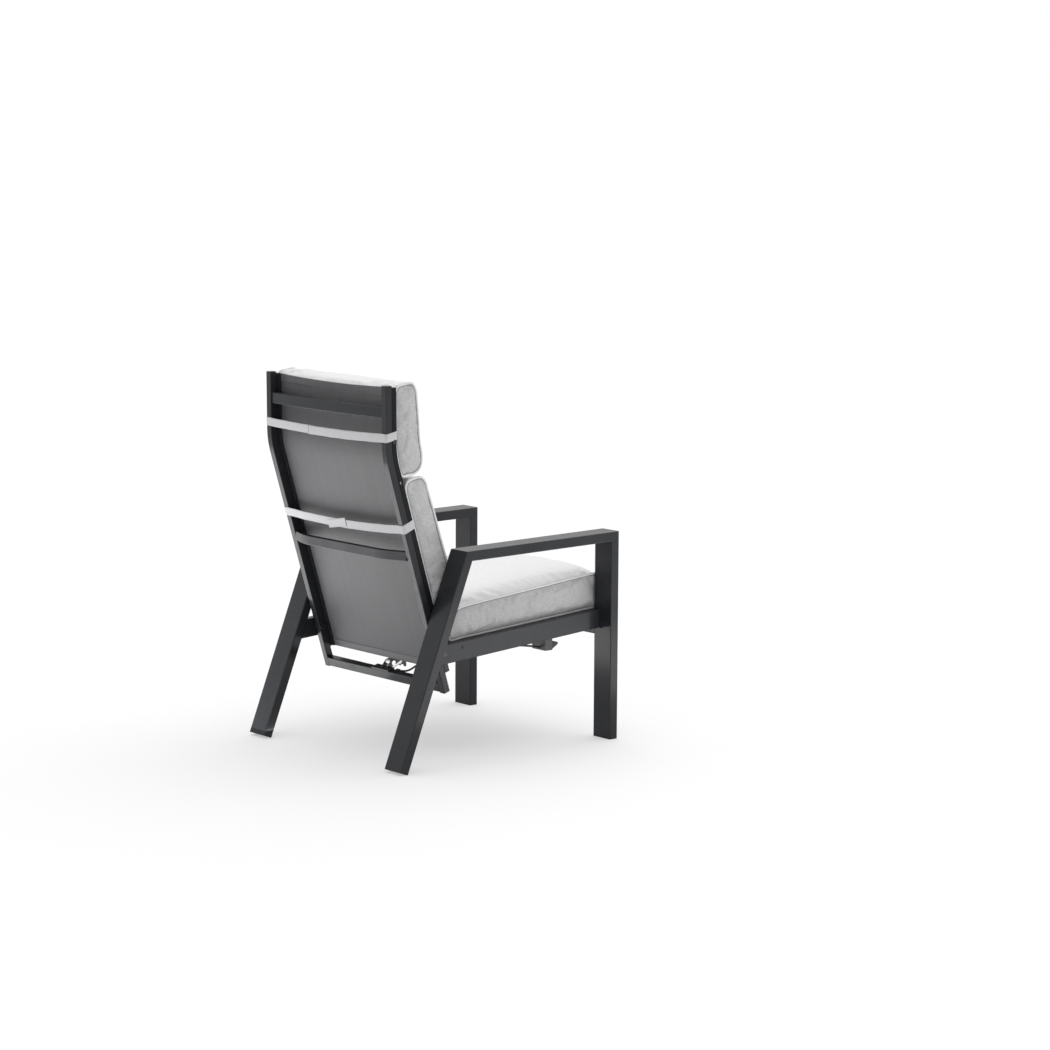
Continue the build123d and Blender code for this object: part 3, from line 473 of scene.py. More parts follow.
def metal_finish(name, dull, bright, rough_low, rough_high, grain_scale, grain_depth):
    """Bare metal: streaks of brightness and roughness, and a grain of its own size."""
    finish = Finish(name, Metallic=1.0)
    at = finish.place()
    streak = finish.noise(finish.stretch(at, 1.0, 6.0, 6.0), 180.0, 4.0, 0.6)
    grain = finish.noise(at, grain_scale, 2.0)
    stain = finish.noise(at, 45.0, 5.0, 0.65)
    roughness = finish.ramp(streak, 0.25, 0.75, rough_low, rough_high)
    return finish.done(finish.mix(stain, dull, bright), roughness, grain, grain_depth)


def sling_finish():
    """Coated mesh: round lengthwise yarns over thinner crosswise ones, with lighter streaks."""
    finish = Finish("sling_mesh", IOR=1.45, Sheen_Weight=0.06)
    across, along, hem = finish.split(finish.cloth())
    turn = 2 * pi
    warp_pitch, weft_pitch = 0.0016, 0.0011
    warp = (across * (turn / warp_pitch)).sine().absolute()
    weft = (along * (turn / (2 * weft_pitch))).sine().absolute()
    lift = ((across * (1 / warp_pitch)).floor() + (along * (1 / weft_pitch)).floor()) % 2
    height = warp * 0.6 + weft * lift * 0.4
    streak = finish.noise(finish.join(across * 900.0, along * 1.3), 1.0, 2.0, 0.6)
    broad = finish.noise(finish.join(across * 90.0, along * 0.6), 1.0, 2.0, 0.5)
    cloud = finish.noise(finish.join(across, along), 7.0, 2.0)
    tone = finish.ramp(streak * 0.6 + broad * 0.4, 0.38, 0.62)
    yarn = finish.mix(tone, (0.068, 0.067, 0.072), (0.084, 0.083, 0.088))
    yarn = finish.mix(hem, yarn, (0.13, 0.13, 0.137))
    woven = finish.mix(finish.ramp(height, 0.0, 0.45), (0.042, 0.041, 0.045), yarn)
    woven = finish.mix(finish.ramp(cloud, 0.35, 0.7, 0.0, 0.08), woven, (0.12, 0.12, 0.126))
    return finish.done(woven, 0.5 + streak * 0.15, height, 0.0002, 0.6)


def woven_finish(name, dark, light, pitch, mottle, depth, stitched=None):
    """Plain weave of slubby yarns: warp and weft take turns on top, and each yarn varies along it.

    The third part of the cloth place paints shade: it turns the colour into a darker copy of the same
    cloth, for the shaded side panels. stitched is how far two rows of stitches lie from the band's
    middle, in metres.
    """
    finish = Finish(name, IOR=1.4, Sheen_Weight=0.1, Sheen_Roughness=0.5, Specular_IOR_Level=0.3)
    across, along, side = finish.split(finish.cloth())
    turn = pi / pitch
    warp = (across * turn).sine().absolute()
    weft = (along * turn).sine().absolute()
    over = ((across * (1 / pitch)).floor() + (along * (1 / pitch)).floor()) % 2
    height = warp * over + weft * (1 - over)
    warp_slub = finish.noise(finish.join(across * 900.0, along * 55.0), 1.0, 2.0, 0.6)
    weft_slub = finish.noise(finish.join(across * 55.0, along * 900.0), 1.0, 2.0, 0.6)
    slub = warp_slub * 0.5 + weft_slub * 0.5
    cloud = finish.noise(finish.join(across, along), 160.0, 3.0, 0.6)
    tone = slub * (1 - mottle) + cloud * mottle
    tone = finish.ramp(tone, 0.32, 0.68)
    colour = finish.mix(tone, dark, light)
    # Painted shade: a darker copy of the same cloth for the side panels
    shaded = finish.mix(tone, [value * 0.5 for value in dark], [value * 0.64 for value in light])
    colour = finish.mix(side, colour, shaded)
    shade = finish.ramp(height, 0.0, 0.5, 0.16, 0.0)
    colour = finish.mix(shade, colour, [value * 0.6 for value in dark])
    relief = height * 0.75 + slub * 0.25
    if stitched:
        row = finish.ramp((along.absolute() - stitched).absolute(), 0.0004, 0.0012, 1.0, 0.0)
        thread = row * finish.ramp((across * (pi / 0.0035)).sine().absolute(), 0.15, 0.5)
        colour = finish.mix(row * 0.5, colour, [value * 0.62 for value in dark])
        colour = finish.mix(thread * 0.6, colour, light)
        relief = relief - row * 0.8 + thread * 0.6
    return finish.done(colour, 0.78 + slub * 0.14, relief, depth, 0.6)


def cable_finish():
    """Smooth black cable sheath with faint extrusion lines."""
    finish = Finish("cable_sheath", IOR=1.48)
    along, around, _ = finish.split(finish.cloth())
    line = finish.noise(finish.join(along * 12.0, around * 2500.0), 1.0, 2.0)
    colour = finish.mix(line, (0.014, 0.014, 0.014), (0.024, 0.024, 0.024))
    return finish.done(colour, 0.34 + line * 0.12, line, 0.00005)


anthracite = (0.013, 0.014, 0.017), (0.018, 0.019, 0.0222)
# Painted light: a lighter grey on the lumbar bar for the light its face catches; the bar has the
# frame's coat
lumbar_painted_light_grey = (0.062, 0.062, 0.066), (0.076, 0.076, 0.08)
zinc = (0.5, 0.5, 0.49), (0.66, 0.66, 0.64)
casting = (0.6, 0.6, 0.6), (0.76, 0.76, 0.75)
chrome = (0.74, 0.74, 0.75), (0.82, 0.82, 0.83)
fabric = (0.69, 0.69, 0.696), (0.82, 0.82, 0.826)
piping = (0.6, 0.6, 0.606), (0.72, 0.72, 0.726)
webbing = (0.46, 0.46, 0.47), (0.56, 0.56, 0.57)
cord_grey = (0.2, 0.2, 0.203), (0.28, 0.28, 0.284)
# Painted shade: above this height in metres the lumbar bar's top face is painted dark
lumbar_bar_top = 0.5745
# Painted shadow: beyond this x in metres the channels' outer faces are painted dark, for the cushions'
# shadow on them
channel_outer_face = 0.246
finishes = {
    "frame_coat": coated_finish("anthracite_powder_coat", *anthracite, 0.36),
    "grey_plastic": coated_finish("anthracite_plastic", *anthracite, 0.3),
    # Lumbar bar coat with painted light on its face and painted shade on its top face
    "lumbar_painted_light_and_shade": coated_finish("lumbar_powder_coat", *lumbar_painted_light_grey, 0.36, top=lumbar_bar_top),
    # Channel coat with painted shadow on its outer faces above 0.3 m
    "channel_painted_shade": coated_finish("channel_painted_shadow_coat", *anthracite, 0.36, channel_outer_face),
    "black_plastic": moulded_finish(),
    "black_steel": painted_steel_finish(),
    "zinc_steel": metal_finish("zinc_plate", *zinc, 0.25, 0.45, 900.0, 0.00003),
    "silver_casting": metal_finish("die_casting", *casting, 0.4, 0.55, 1500.0, 0.0001),
    "chrome_rod": metal_finish("chrome_plate", *chrome, 0.06, 0.14, 600.0, 0.00001),
    "sling_mesh": sling_finish(),
    "cushion_fabric": woven_finish("cushion_fabric", *fabric, 0.0011, 0.3, 0.00025),
    "piping": woven_finish("piping", *piping, 0.0009, 0.2, 0.0002),
    "strap_webbing": woven_finish("strap_webbing", *webbing, 0.0014, 0.2, 0.0003, stitched=0.0098),
    "cable_sheath": cable_finish(),
    "seam_cord": woven_finish("seam_cord", *cord_grey, 0.0009, 0.2, 0.0002),
}
own_finishes = {
    # The lumbar bar takes the coat with painted light and painted shade
    "lumbar_bar": "lumbar_painted_light_and_shade",
    "recline_bolts": "frame_coat",
    "stretcher_screws": "frame_coat",
    # The channels take the coat with painted shadow
    "left_back_sling_channel": "channel_painted_shade",
    "right_back_sling_channel": "channel_painted_shade",
}
record_slots = {row["node"]: row["material_slot"] for row in frame["record"]["subparts"]}
for node, solid in frame["nodes"].items():
    for material_slot in solid.material_slots:
        material_slot.material = finishes[own_finishes.get(node, record_slots[node])]


def dress(piece, body, slot, *nodes):
    """Let a piece ride on a body and stand for some CAD nodes; slot is not used."""
    if body:
        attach(piece, body)
    if nodes:
        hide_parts(*nodes)
    return piece


# Cushions: an outline of the side panel, where the piping runs, carried across the chair

loop_points = 320
welt_radius = 3.6
seam_radius = 1.25
seam_inset = 4.6
held_reach = 5.5
panel_rings = 12
wrap_rings = 64
other_side_shift = 137.0
cushion_half_reach = 267.0
seat_rear_edge = 508.0
seat_rear_ceiling = 416.0


def outline_normals(loop):
    """Unit vectors square to a closed outline, outwards."""
    along = unit(np.roll(loop, -1, axis=0) - np.roll(loop, 1, axis=0))
    normals = np.stack([along[:, 1], -along[:, 0]], axis=-1)
    turned = np.sum(normals * (loop - loop.mean(0)))
    return normals if turned > 0 else -normals


def corner_share(loop):
    """Near 1 at an outline's corners and 0 on its long runs, from how sharply it turns."""
    along = unit(np.roll(loop, -1, axis=0) - loop)
    turn = np.arccos(np.clip((along * np.roll(along, 1, axis=0)).sum(-1), -1, 1))
    window = np.hanning(loop_points // 12)
    window /= window.sum()
    half = len(window) // 2
    padded = np.concatenate([turn[-half:], turn, turn[:half]])
    smooth = np.convolve(padded, window, mode="same")[half:-half]
    return np.clip(smooth / smooth.max(), 0, 1)


class Cushion:
    """One cushion: its piping outline (y, z), the half width there and how far each side swells."""

    def __init__(self, name, outline, half_width, swell, pull=3.5, panel_swell=3.0):
        self.name = name
        self.loop = even_loop(outline, loop_points)
        self.normals = outline_normals(self.loop)
        self.seam_x = half_width - pull * (1 - corner_share(self.loop))
        ahead, upward, rear, down = swell
        toward = [-self.normals[:, 0], self.normals[:, 1], self.normals[:, 0], -self.normals[:, 1]]
        amounts = zip((ahead, upward, rear, down), toward)
        self.crown = sum(amount * np.clip(share, 0, 1) for amount, share in amounts)
        self.panel_swell = panel_swell

    def start_form(self, share):
        """Closed form: the outline carried across, swollen by share of the crown, with flat ends."""
        across = np.sin(np.linspace(-pi / 2, pi / 2, wrap_rings))
        swell = share * (1 - np.abs(across) ** 2.6)
        wrap = self.loop[None] + (self.normals * self.crown[:, None])[None] * swell[:, None, None]
        x = across[:, None] * self.seam_x[None]
        rings = np.concatenate([x[:, :, None], wrap], axis=-1)
        inward = np.linspace(0, 1, panel_rings + 2)[1:-1]
        middle = self.loop.mean(0)
        ends = []
        for side in (-1, 1):
            panel = middle + (self.loop - middle)[None] * (1 - inward)[:, None, None]
            bulge = self.panel_swell * share * (1 - (1 - inward) ** 2)
            end_x = side * (self.seam_x[None] + bulge[:, None])
            ends.append(np.concatenate([end_x[:, :, None], panel], axis=-1))
        rings = np.concatenate([ends[0][::-1], rings, ends[1]])
        count = len(rings)
        pole_x = self.seam_x.mean() + self.panel_swell * share
        points = np.concatenate([rings.reshape(-1, 3), [[-pole_x, *middle], [pole_x, *middle]]])
        faces = grid_faces(count, loop_points, closed_columns=True).tolist()
        first, last = count * loop_points, count * loop_points + 1
        column = np.arange(loop_points)
        after = (column + 1) % loop_points
        shift = (count - 1) * loop_points
        faces += np.column_stack([0 * column + first, after, column]).tolist()
        faces += np.column_stack([0 * column + last, column + shift, after + shift]).tolist()
        return points, faces

    def seam_line(self, side, inset=0.0, out=0.0):
        """The piping line on one side, moved in from the outline and out along x."""
        yz = self.loop - self.normals * inset
        return np.column_stack([side * (self.seam_x + out), yz])

    def from_seam(self, points):
        """Distance in millimetres from the nearer piping line, and that line's nearest point."""
        line = self.seam_line(1)
        folded = np.column_stack([np.abs(points[:, 0]), points[:, 1:]])
        nearest = np.zeros(len(points), int)
        reach = np.zeros(len(points))
        for start in range(0, len(points), 4000):
            part = slice(start, start + 4000)
            apart = ((folded[part, None] - line[None]) ** 2).sum(-1)
            nearest[part] = apart.argmin(1)
            reach[part] = np.sqrt(apart.min(1))
        return reach, nearest


def recalculated(piece):
    """Turn a closed mesh's faces outwards."""
    work = bmesh.new()
    work.from_mesh(piece.data)
    bmesh.ops.recalc_face_normals(work, faces=work.faces)
    work.to_mesh(piece.data)
    work.free()


def remeshed(piece, voxel):
    """Replace a closed mesh by an even one of small quads."""
    modifier = piece.modifiers.new("even", "REMESH")
    modifier.mode = "VOXEL"
    modifier.voxel_size = voxel * 0.001
    bpy.context.view_layer.update()
    mesh = bpy.data.meshes.new_from_object(finished_form(piece))
    piece.modifiers.clear()
    piece.data = mesh


cloth_settings = {
    "quality": 6,
    "mass": 0.2,
    "tension_stiffness": 12,
    "compression_stiffness": 12,
    "shear_stiffness": 5,
    "bending_stiffness": 0.4,
    "shrink_min": -0.03,
    "use_pressure": True,
    "uniform_pressure_force": 4.0,
    "vertex_group_mass": "held",
}
cloth_frames = 20


def swollen(piece, held, cap):
    """Points of a piece after cloth simulation under pressure, with the held points fixed."""
    rest = vertex_array(piece)
    group = piece.vertex_groups.new(name="held")
    group.add(np.nonzero(held)[0].tolist(), 1.0, "REPLACE")
    cloth = piece.modifiers.new("cloth", "CLOTH")
    for name, value in cloth_settings.items():
        setattr(cloth.settings, name, value)
    cloth.settings.effector_weights.gravity = 0
    cloth.collision_settings.use_collision = False
    for number in range(1, cloth_frames + 1):
        scene.frame_set(number)
    moved = vertex_array(finished_form(piece)) - rest
    piece.modifiers.clear()
    piece.vertex_groups.clear()
    scene.frame_set(1)
    size = np.linalg.norm(moved, axis=1, keepdims=True)
    return rest + moved * np.minimum(1, cap * 0.001 / np.maximum(size, 1e-9))


def drawing(points):
    """Row frame points in metres as millimetres of the drawing."""
    return points * 1000 + np.array([0, chair_depth / 2, 0])


def rest_on_back(points):
    """Lift points of a cushion off the posts' channels and the sling between them."""
    ahead, square = back_depth(points[:, 1], points[:, 2])
    on_channel = np.clip((np.abs(points[:, 0]) - channel_inner_x + 10) / 8, 0, 1)
    sling_face = back_sling_ahead + sling_thickness / 2 + soft_gap
    needed = sling_face + (channel_ahead + soft_gap - sling_face) * on_channel
    short = np.maximum(needed - ahead, 0)
    points[:, 1:] -= square * short[:, None]
    points[:, 0] = np.clip(points[:, 0], -cushion_half_reach, cushion_half_reach)
    return points


def rest_on_seat(points):
    """Lift points off the seat sling, its channels and the front rail, and clear of the back."""
    x, y, z = points.T
    on_channel = np.clip((np.abs(x) - seat_channel_x + 8) / 6, 0, 1)
    top = rail_top(y)
    sling_face = top - seat_sling_drop + sling_thickness / 2 + soft_gap
    channel_face = top - seat_channel_drop + soft_gap
    floor = sling_face + (channel_face - sling_face) * on_channel
    over_rail = np.clip((seat_sling_front + 6 - y) / 6, 0, 1)
    floor = floor + (np.maximum(front_rail_top + soft_gap, floor) - floor) * over_rail
    ceiling = seat_rear_ceiling + np.maximum(seat_rear_edge - y, 0) * 0.5
    points[:, 2] = np.clip(z, floor, np.maximum(ceiling, floor + 1))
    points[:, 0] = np.clip(x, -cushion_half_reach - 0.5, cushion_half_reach + 0.5)
    ahead, square = back_depth(points[:, 1], points[:, 2])
    short = np.maximum(channel_ahead + 1.5 - ahead, 0)
    points[:, 1:] -= square * short[:, None]
    return points


def puckers(arc, seed, pitches=(17.0, 29.0, 43.0)):
    """Small folds along a seam: a sum of waves of a few lengths, between -1 and 1."""
    phases = np.random.default_rng(seed).uniform(0, 2 * pi, len(pitches))
    waves = [np.sin(2 * pi * arc / pitch + phase) for pitch, phase in zip(pitches, phases)]
    return np.mean(waves, axis=0)


def make_cushion(cushion, voxel, cap, rest_on, body, seed):
    """Simulate one cushion's cover, press it on what it rests on and sew its piping round it."""
    points, faces = cushion.start_form(0.72)
    fabric = finishes["cushion_fabric"]
    cover = make_piece(cushion.name + "_cover", placed(*points.T), faces, fabric)
    recalculated(cover)
    remeshed(cover, voxel)
    reach, _ = cushion.from_seam(drawing(vertex_array(cover)))
    settled = swollen(cover, reach < held_reach, cap)
    normals = vertex_array(cover, "normal")
    points = drawing(settled)
    reach, nearest = cushion.from_seam(points)
    along_seam = nearest * np.linalg.norm(cushion.loop[1] - cushion.loop[0])
    arc = np.where(points[:, 0] > 0, along_seam, along_seam + other_side_shift)
    on_panel = np.abs(normals[:, 0]) > 0.75
    fold = puckers(arc, seed) * np.exp(-reach / 26) * np.clip(reach / 9, 0, 1)
    points += normals * (fold * np.where(on_panel, 0.7, 1.6))[:, None]
    waves = puckers(points[:, 0] + 0.35 * arc, seed + 1, (97.0, 151.0, 223.0))
    points += normals * (waves * np.clip(reach / 60, 0, 1) * 1.3)[:, None]
    points = rest_on(points)
    cover.data.vertices.foreach_set("co", (placed(*points.T)).astype(np.float32).ravel())
    cover.data.update()
    cover.data.shade_smooth()
    wrap_cloth = np.column_stack([points[:, 0], along_seam])
    cloth = np.where(on_panel[:, None], points[:, 1:], wrap_cloth) * 0.001
    # Third part of the cloth place: how far the cover faces sideways, which the fabric finish turns
    # into painted shade on the side panels
    cloth = np.column_stack([cloth, np.clip((np.abs(normals[:, 0]) - 0.45) / 0.4, 0, 1)])
    write_cloth(cover, cloth)
    if not cover.data.materials:
        cover.data.materials.append(fabric)
    smooth = cover.modifiers.new("smooth", "SUBSURF")
    smooth.levels = smooth.render_levels = 1
    dress(cover, body, "cushion_fabric", cushion.name)
    across = np.array([1.0, 0, 0])
    for side, label in ((-1, "right"), (1, "left")):
        line = cushion.seam_line(side, inset=0.6, out=-0.8)
        name = f"{label}_{cushion.name}_welt"
        welt = tube(name, line, welt_radius, finishes["piping"], True, across)
        dress(welt, body, "cushion_fabric")
        line = cushion.seam_line(side, inset=seam_inset, out=0.9)
        name = f"{label}_{cushion.name}_seam"
        seam = tube(name, line, seam_radius, finishes["seam_cord"], True, across, 8)
        dress(seam, body, "cushion_fabric")


head_outline = [
    (716, 1010), (708, 1018), (690, 1021), (672, 1023), (660, 1020), (649, 1001), (644, 965),
    (640, 924), (636, 871), (629, 831), (633, 802), (651, 785), (675, 781), (696, 780), (704, 797),
    (713, 840), (717, 877), (719, 920), (719.5, 960), (720, 995),
]
back_outline = [
    (685, 751), (675, 765), (648, 772), (631, 772), (617, 758), (609, 737), (587, 676), (565, 607),
    (549, 559), (530, 500), (516, 455), (513, 436), (520, 424), (550, 420), (578, 421), (589, 428),
    (597, 452), (614, 507), (630, 560), (646, 613), (662, 665), (675, 710), (684, 738),
]
seat_outline = [
    (16, 361.5), (9, 378), (8, 410), (9, 440), (17, 456), (60, 454), (120, 448.5), (219, 439),
    (290, 432.5), (361, 426), (440, 418.5), (500, 411), (524, 397), (537, 370), (541, 342), (534, 325),
    (500, 327.5), (430, 332), (361, 337), (290, 342), (218, 347), (130, 353), (60, 358.5),
]
head = Cushion("head_cushion", head_outline, 261.0, (15, 13, 1, 4))
back = Cushion("back_cushion", back_outline, 261.0, (18, 8, 1, 2))
seat = Cushion("seat_cushion", seat_outline, 263.5, (5, 16, 3, 4))


def make_cushions():
    """The three loose cushions."""
    make_cushion(head, 4.5, 9.0, rest_on_back, "backrest", 3)
    make_cushion(back, 5.0, 10.0, rest_on_back, "backrest", 5)
    make_cushion(seat, 5.5, 11.0, rest_on_seat, "root", 8)


# Slings

sling_columns, sling_rows, hem_rows = 61, 121, 9
sling_sag = 1.6
hem_roll = 0.9
hem_inset = 1.5
hem_lead = 0.7
folded_wall = 0.0008


def make_sling(name, surface, length, half_width, body, node, hem_width, pale_hem=0.0, dip=0.0):
    """Mesh stretched between two channels: surface(share, depth) along it, with a slight sag.

    Points are half_width * across for across from -1 to 1, and the sheet sags by
    sling_sag * (1 - across squared) in the middle of its length.  Its far edge dips by
    dip * (1 - across squared), and the sixth power of the share fades that out along it.
    """
    across = np.linspace(-1, 1, sling_columns)[None]
    bow = 1 - across**2

    def sheet_points(share, above, inset=0.0):
        """Points of the sheet at shares of its length, above its middle, and their x."""
        depth = sling_sag * np.sin(pi * share) ** 0.6 * bow + above
        yz = surface(share - dip / length * bow * share**6, depth)
        x = (half_width - inset) * across + 0 * share
        return placed(x, yz[..., 0], yz[..., 1]), x

    share = np.linspace(0, 1, sling_rows)[:, None]
    points, x = sheet_points(share, 0.0)
    cloth = np.stack([x, share * length + 0 * x], axis=-1) * 0.001
    faces = grid_faces(sling_rows, sling_columns)
    sheet = make_piece(name + "_mesh", points, faces, finishes["sling_mesh"], cloth)
    thickened(sheet, sling_thickness * 0.001)
    dress(sheet, body, "sling_mesh", node)
    fold = hem_width / length
    for label, shares, pale in (("low", (0.0, fold), pale_hem), ("high", (1 - fold, 1.0), 0)):
        share = np.linspace(*shares, hem_rows)[:, None]
        roll = hem_roll * np.sqrt(np.clip(1 - np.linspace(-1, 1, hem_rows) ** 8, 0, 1))[:, None]
        points, x = sheet_points(share, sling_thickness / 2 + roll, hem_inset)
        cloth = np.stack([x, share * length + hem_lead + 0 * x, pale + 0 * x], axis=-1) * 0.001
        faces = grid_faces(hem_rows, sling_columns)
        hem = make_piece(f"{name}_{label}_hem", points, faces, finishes["sling_mesh"], cloth)
        thickened(hem, folded_wall)
        dress(hem, body, "sling_mesh")
    flat = (2 * half_width * 0.001, length * 0.001)


def make_slings():
    """The back sling, which hangs a little to the rear, and the seat sling, a little down."""
    low, high = back_sling_low, above_bend(back_sling_high)
    length = high - low + back_sling_ahead * bend_turn

    def back_sheet(share, depth):
        return back_surface(low + share * (high - low), back_sling_ahead - depth)

    make_sling(
        "back_sling", back_sheet, length, back_sling_half_width, "backrest", "back_sling", 22.0,
        pale_hem=700.0, dip=6.0,
    )

    def seat_sheet(share, depth):
        y = seat_sling_front + share * (seat_sling_back - seat_sling_front)
        return np.stack([y + 0 * depth, rail_top(y) - seat_sling_drop - depth], axis=-1)

    length = (seat_sling_back - seat_sling_front) / cos(rail_slope)
    make_sling("seat_sling", seat_sheet, length, seat_sling_half_width, "root", "seat_sling", 20.0)


# Straps: flat webbing from one side of a cushion round the posts to the other side

strap_wall = 0.0015
strap_gap = 1.05
strap_front = -24.5
strap_free = 240.0
strap_foot = 245.0
head_strap_width = 22.5
back_strap_width = 24.0
back_strap_distance = 358.0
stitch_row_x = 70.0
lap_end_x = -252.0


def strap_line(outer_x, rear):
    """Line (x, depth to the rear) from the cushion's side round a post, across and back."""
    corner = 4.0
    angle = np.linspace(0, pi / 2, 9)
    centre = np.array([outer_x - corner, rear - corner])
    bend = centre + corner * np.column_stack([np.cos(angle), np.sin(angle)])
    depth = np.linspace(strap_front, rear - corner, 9)
    side = np.column_stack([outer_x - 3.5 * np.clip((-channel_ahead - depth) / 6, 0, 1), depth])
    half = np.vstack([side[:-1], bend])
    other = half[::-1] * np.array([-1, 1])
    return resample(np.vstack([half, other]), 181)


def behind_posts(distance, rear, lift):
    """Places (y, z) rear of the posts' centre line and up along it, from a distance on it."""
    centre, square = post_line(distance)
    y = centre[0] + square[0] * rear - square[1] * lift
    z = centre[1] + square[1] * rear + square[0] * lift
    return y, z


def band(name, distance, line, drop, height, tilt=0.0, seed=1, middle=0.0, rise=0.0):
    """Webbing on a line round the posts: drop(x) lets it hang, and its ends rise on their sides."""
    across = np.linspace(-0.5, 0.5, 7)[None]
    along, depth = line[:, :1], line[:, 1:]
    wave = puckers(along, seed, (61.0, 97.0, 170.0))
    rear = depth + 0.25 * wave * (1 - 4 * across**2) * (np.abs(along) < strap_free)
    lift = across * height - drop(along) + 0.5 * wave + tilt * (along - middle)
    lift = lift + rise * np.clip((post_half - depth) / 38, 0, 1)
    length = travelled(line)[:, None] + 0 * across
    cloth = np.stack([length, across * height + 0 * length], axis=-1) * 0.001
    faces = grid_faces(*lift.shape)
    points = placed(along, *behind_posts(distance, rear, lift))
    piece = make_piece(name, points, faces, finishes["strap_webbing"], cloth)
    thickened(piece, strap_wall)
    edge = piece.modifiers.new("edge", "BEVEL")
    edge.width = 0.0004
    edge.segments = 2
    return piece


def hanging(sag, x):
    """How far a strap hangs below its ends: a parabola between the posts."""
    return sag * np.clip(1 - (x / strap_foot) ** 2, 0, 1)


def make_straps():
    """The head strap with its sewn overlap, and the back strap with its loose lap."""
    rear = post_half + strap_gap
    line = strap_line(post_outer_x + strap_gap, rear)

    def head_drop(x):
        return hanging(5.0, x)

    def head_lap_drop(x):
        return head_drop(x) + 0.9 * np.clip((x - lap_end_x) / 120, 0, 1)

    def back_drop(x):
        return hanging(9.4, x) + 0.012 * (x + post_outer_x)

    high = above_bend(51.0)
    strap = band("head_strap_band", high, line, head_drop, head_strap_width, seed=11, rise=7.0)
    dress(strap, "backrest", "strap_webbing", "head_strap")
    x = np.linspace(stitch_row_x + 2, lap_end_x - 5, 90)
    raised = 0.1 + strap_wall * 1000 * np.clip((x - lap_end_x) / 60, 0, 1)
    lap_line = np.column_stack([x, rear + raised])
    lap = band("head_strap_overlap", high, lap_line, head_lap_drop, head_strap_width + 0.5, seed=12)
    dress(lap, "backrest", "strap_webbing")
    lift = np.linspace(-11.2, 11.2, 12) - head_lap_drop(stitch_row_x)
    stitches = np.column_stack([0 * lift + stitch_row_x, *behind_posts(high, rear + 2.4, lift)])
    across = np.array([1.0, 0, 0])
    row = tube("head_strap_stitches", stitches, 0.55, finishes["seam_cord"], False, across, 8)
    dress(row, "backrest", "strap_webbing")

    low, width = back_strap_distance, back_strap_width
    strap = band("back_strap_band", low, line, back_drop, width, seed=13, rise=4.0)
    dress(strap, "backrest", "strap_webbing", "back_strap")
    x = np.linspace(69, -13, 40)
    lap_line = np.column_stack([x, 0 * x + rear + 1.6])
    lap = band("back_strap_overlap", low, lap_line, back_drop, width, -0.175, 14, 28.0)
    dress(lap, "backrest", "strap_webbing", "back_strap_lap")


# Small parts beside the posts

clip_rows, clip_columns = 37, 9
clip_height, clip_width = 13.0, 9.0
tab_distance = 478.0


def make_clip(side, label):
    """A ribbed clip on a sling channel's outer face.

    It is a block whose face runs in three rounded ribs: depth 0.6 + 1.4 * |sin(3 * pi * v)|.
    """
    v, u = np.linspace(0, 1, clip_rows)[:, None], np.linspace(0, 1, clip_columns)[None]
    edge = (1 - (2 * u - 1) ** 8) * (1 - (2 * v - 1) ** 12)
    out = (0.6 + 1.4 * np.abs(np.sin(3 * pi * v))) * edge
    yz = back_surface(arc_end + 3.0 + clip_height * v + 0 * u, 12.0 + clip_width * u)
    face = placed(side * (post_outer_x + 0.2 + out), yz[..., 0], yz[..., 1])
    back_face = placed(side * (post_outer_x + 0.1 + 0 * out), yz[..., 0], yz[..., 1])
    points = np.concatenate([face.reshape(-1, 3), back_face.reshape(-1, 3)])
    front = grid_faces(clip_rows, clip_columns)
    numbers = np.arange(clip_rows * clip_columns).reshape(clip_rows, clip_columns)
    rim = np.concatenate([numbers[0], numbers[1:, -1], numbers[-1, -2::-1], numbers[-2:0:-1, 0]])
    after = np.roll(rim, -1)
    sides = np.stack([rim, after, after + numbers.size, rim + numbers.size], axis=-1)
    faces = np.concatenate([front, front[:, ::-1] + numbers.size, sides[:, ::-1]])
    clip = make_piece(f"{label}_channel_clip", points, faces, finishes["black_plastic"])
    recalculated(clip)
    dress(clip, "backrest", "black_plastic")


def make_tab(side, label):
    """A fabric tab at the back cushion's corner: a strip of cloth that bows outwards."""
    along, across = np.linspace(0, 1, 13)[:, None], np.linspace(0, 1, 7)[None]
    yz = back_surface(tab_distance + 6.5 * along + 1.5 * across, 12.5 + 4.0 * across + 0 * along)
    points = placed(side * (post_outer_x + 0.7 + 0.5 * np.sin(pi * along)), yz[..., 0], yz[..., 1])
    cloth = np.stack([along * 0.009 + 0 * across, across * 0.0055 + 0 * along], axis=-1)
    tab = make_piece(f"{label}_tie_tab", points, grid_faces(13, 7), finishes["seam_cord"], cloth)
    thickened(tab, folded_wall)
    dress(tab, "backrest", "strap_webbing")


def make_clips():
    """A clip and a tab on each side."""
    for side, label in ((-1, "right"), (1, "left")):
        make_clip(side, label)
        make_tab(side, label)


# Cable from the hand lever to the gas spring


def smooth_line(name, points, count):
    """Points along a NURBS line through the route, evenly spaced."""
    curve = bpy.data.curves.new(name, "CURVE")
    curve.dimensions = "3D"
    spline = curve.splines.new("NURBS")
    spline.points.add(len(points) - 1)
    weighted = np.column_stack([np.asarray(points, float), np.ones(len(points))])
    spline.points.foreach_set("co", weighted.ravel())
    spline.use_endpoint_u = True
    spline.order_u = 3
    spline.resolution_u = 16
    carrier = linked(name, curve)
    bpy.context.view_layer.update()
    mesh = bpy.data.meshes.new_from_object(finished_form(carrier))
    line = np.array([vertex.co for vertex in mesh.vertices])
    bpy.data.objects.remove(carrier)
    bpy.data.meshes.remove(mesh)
    return resample(line, count)


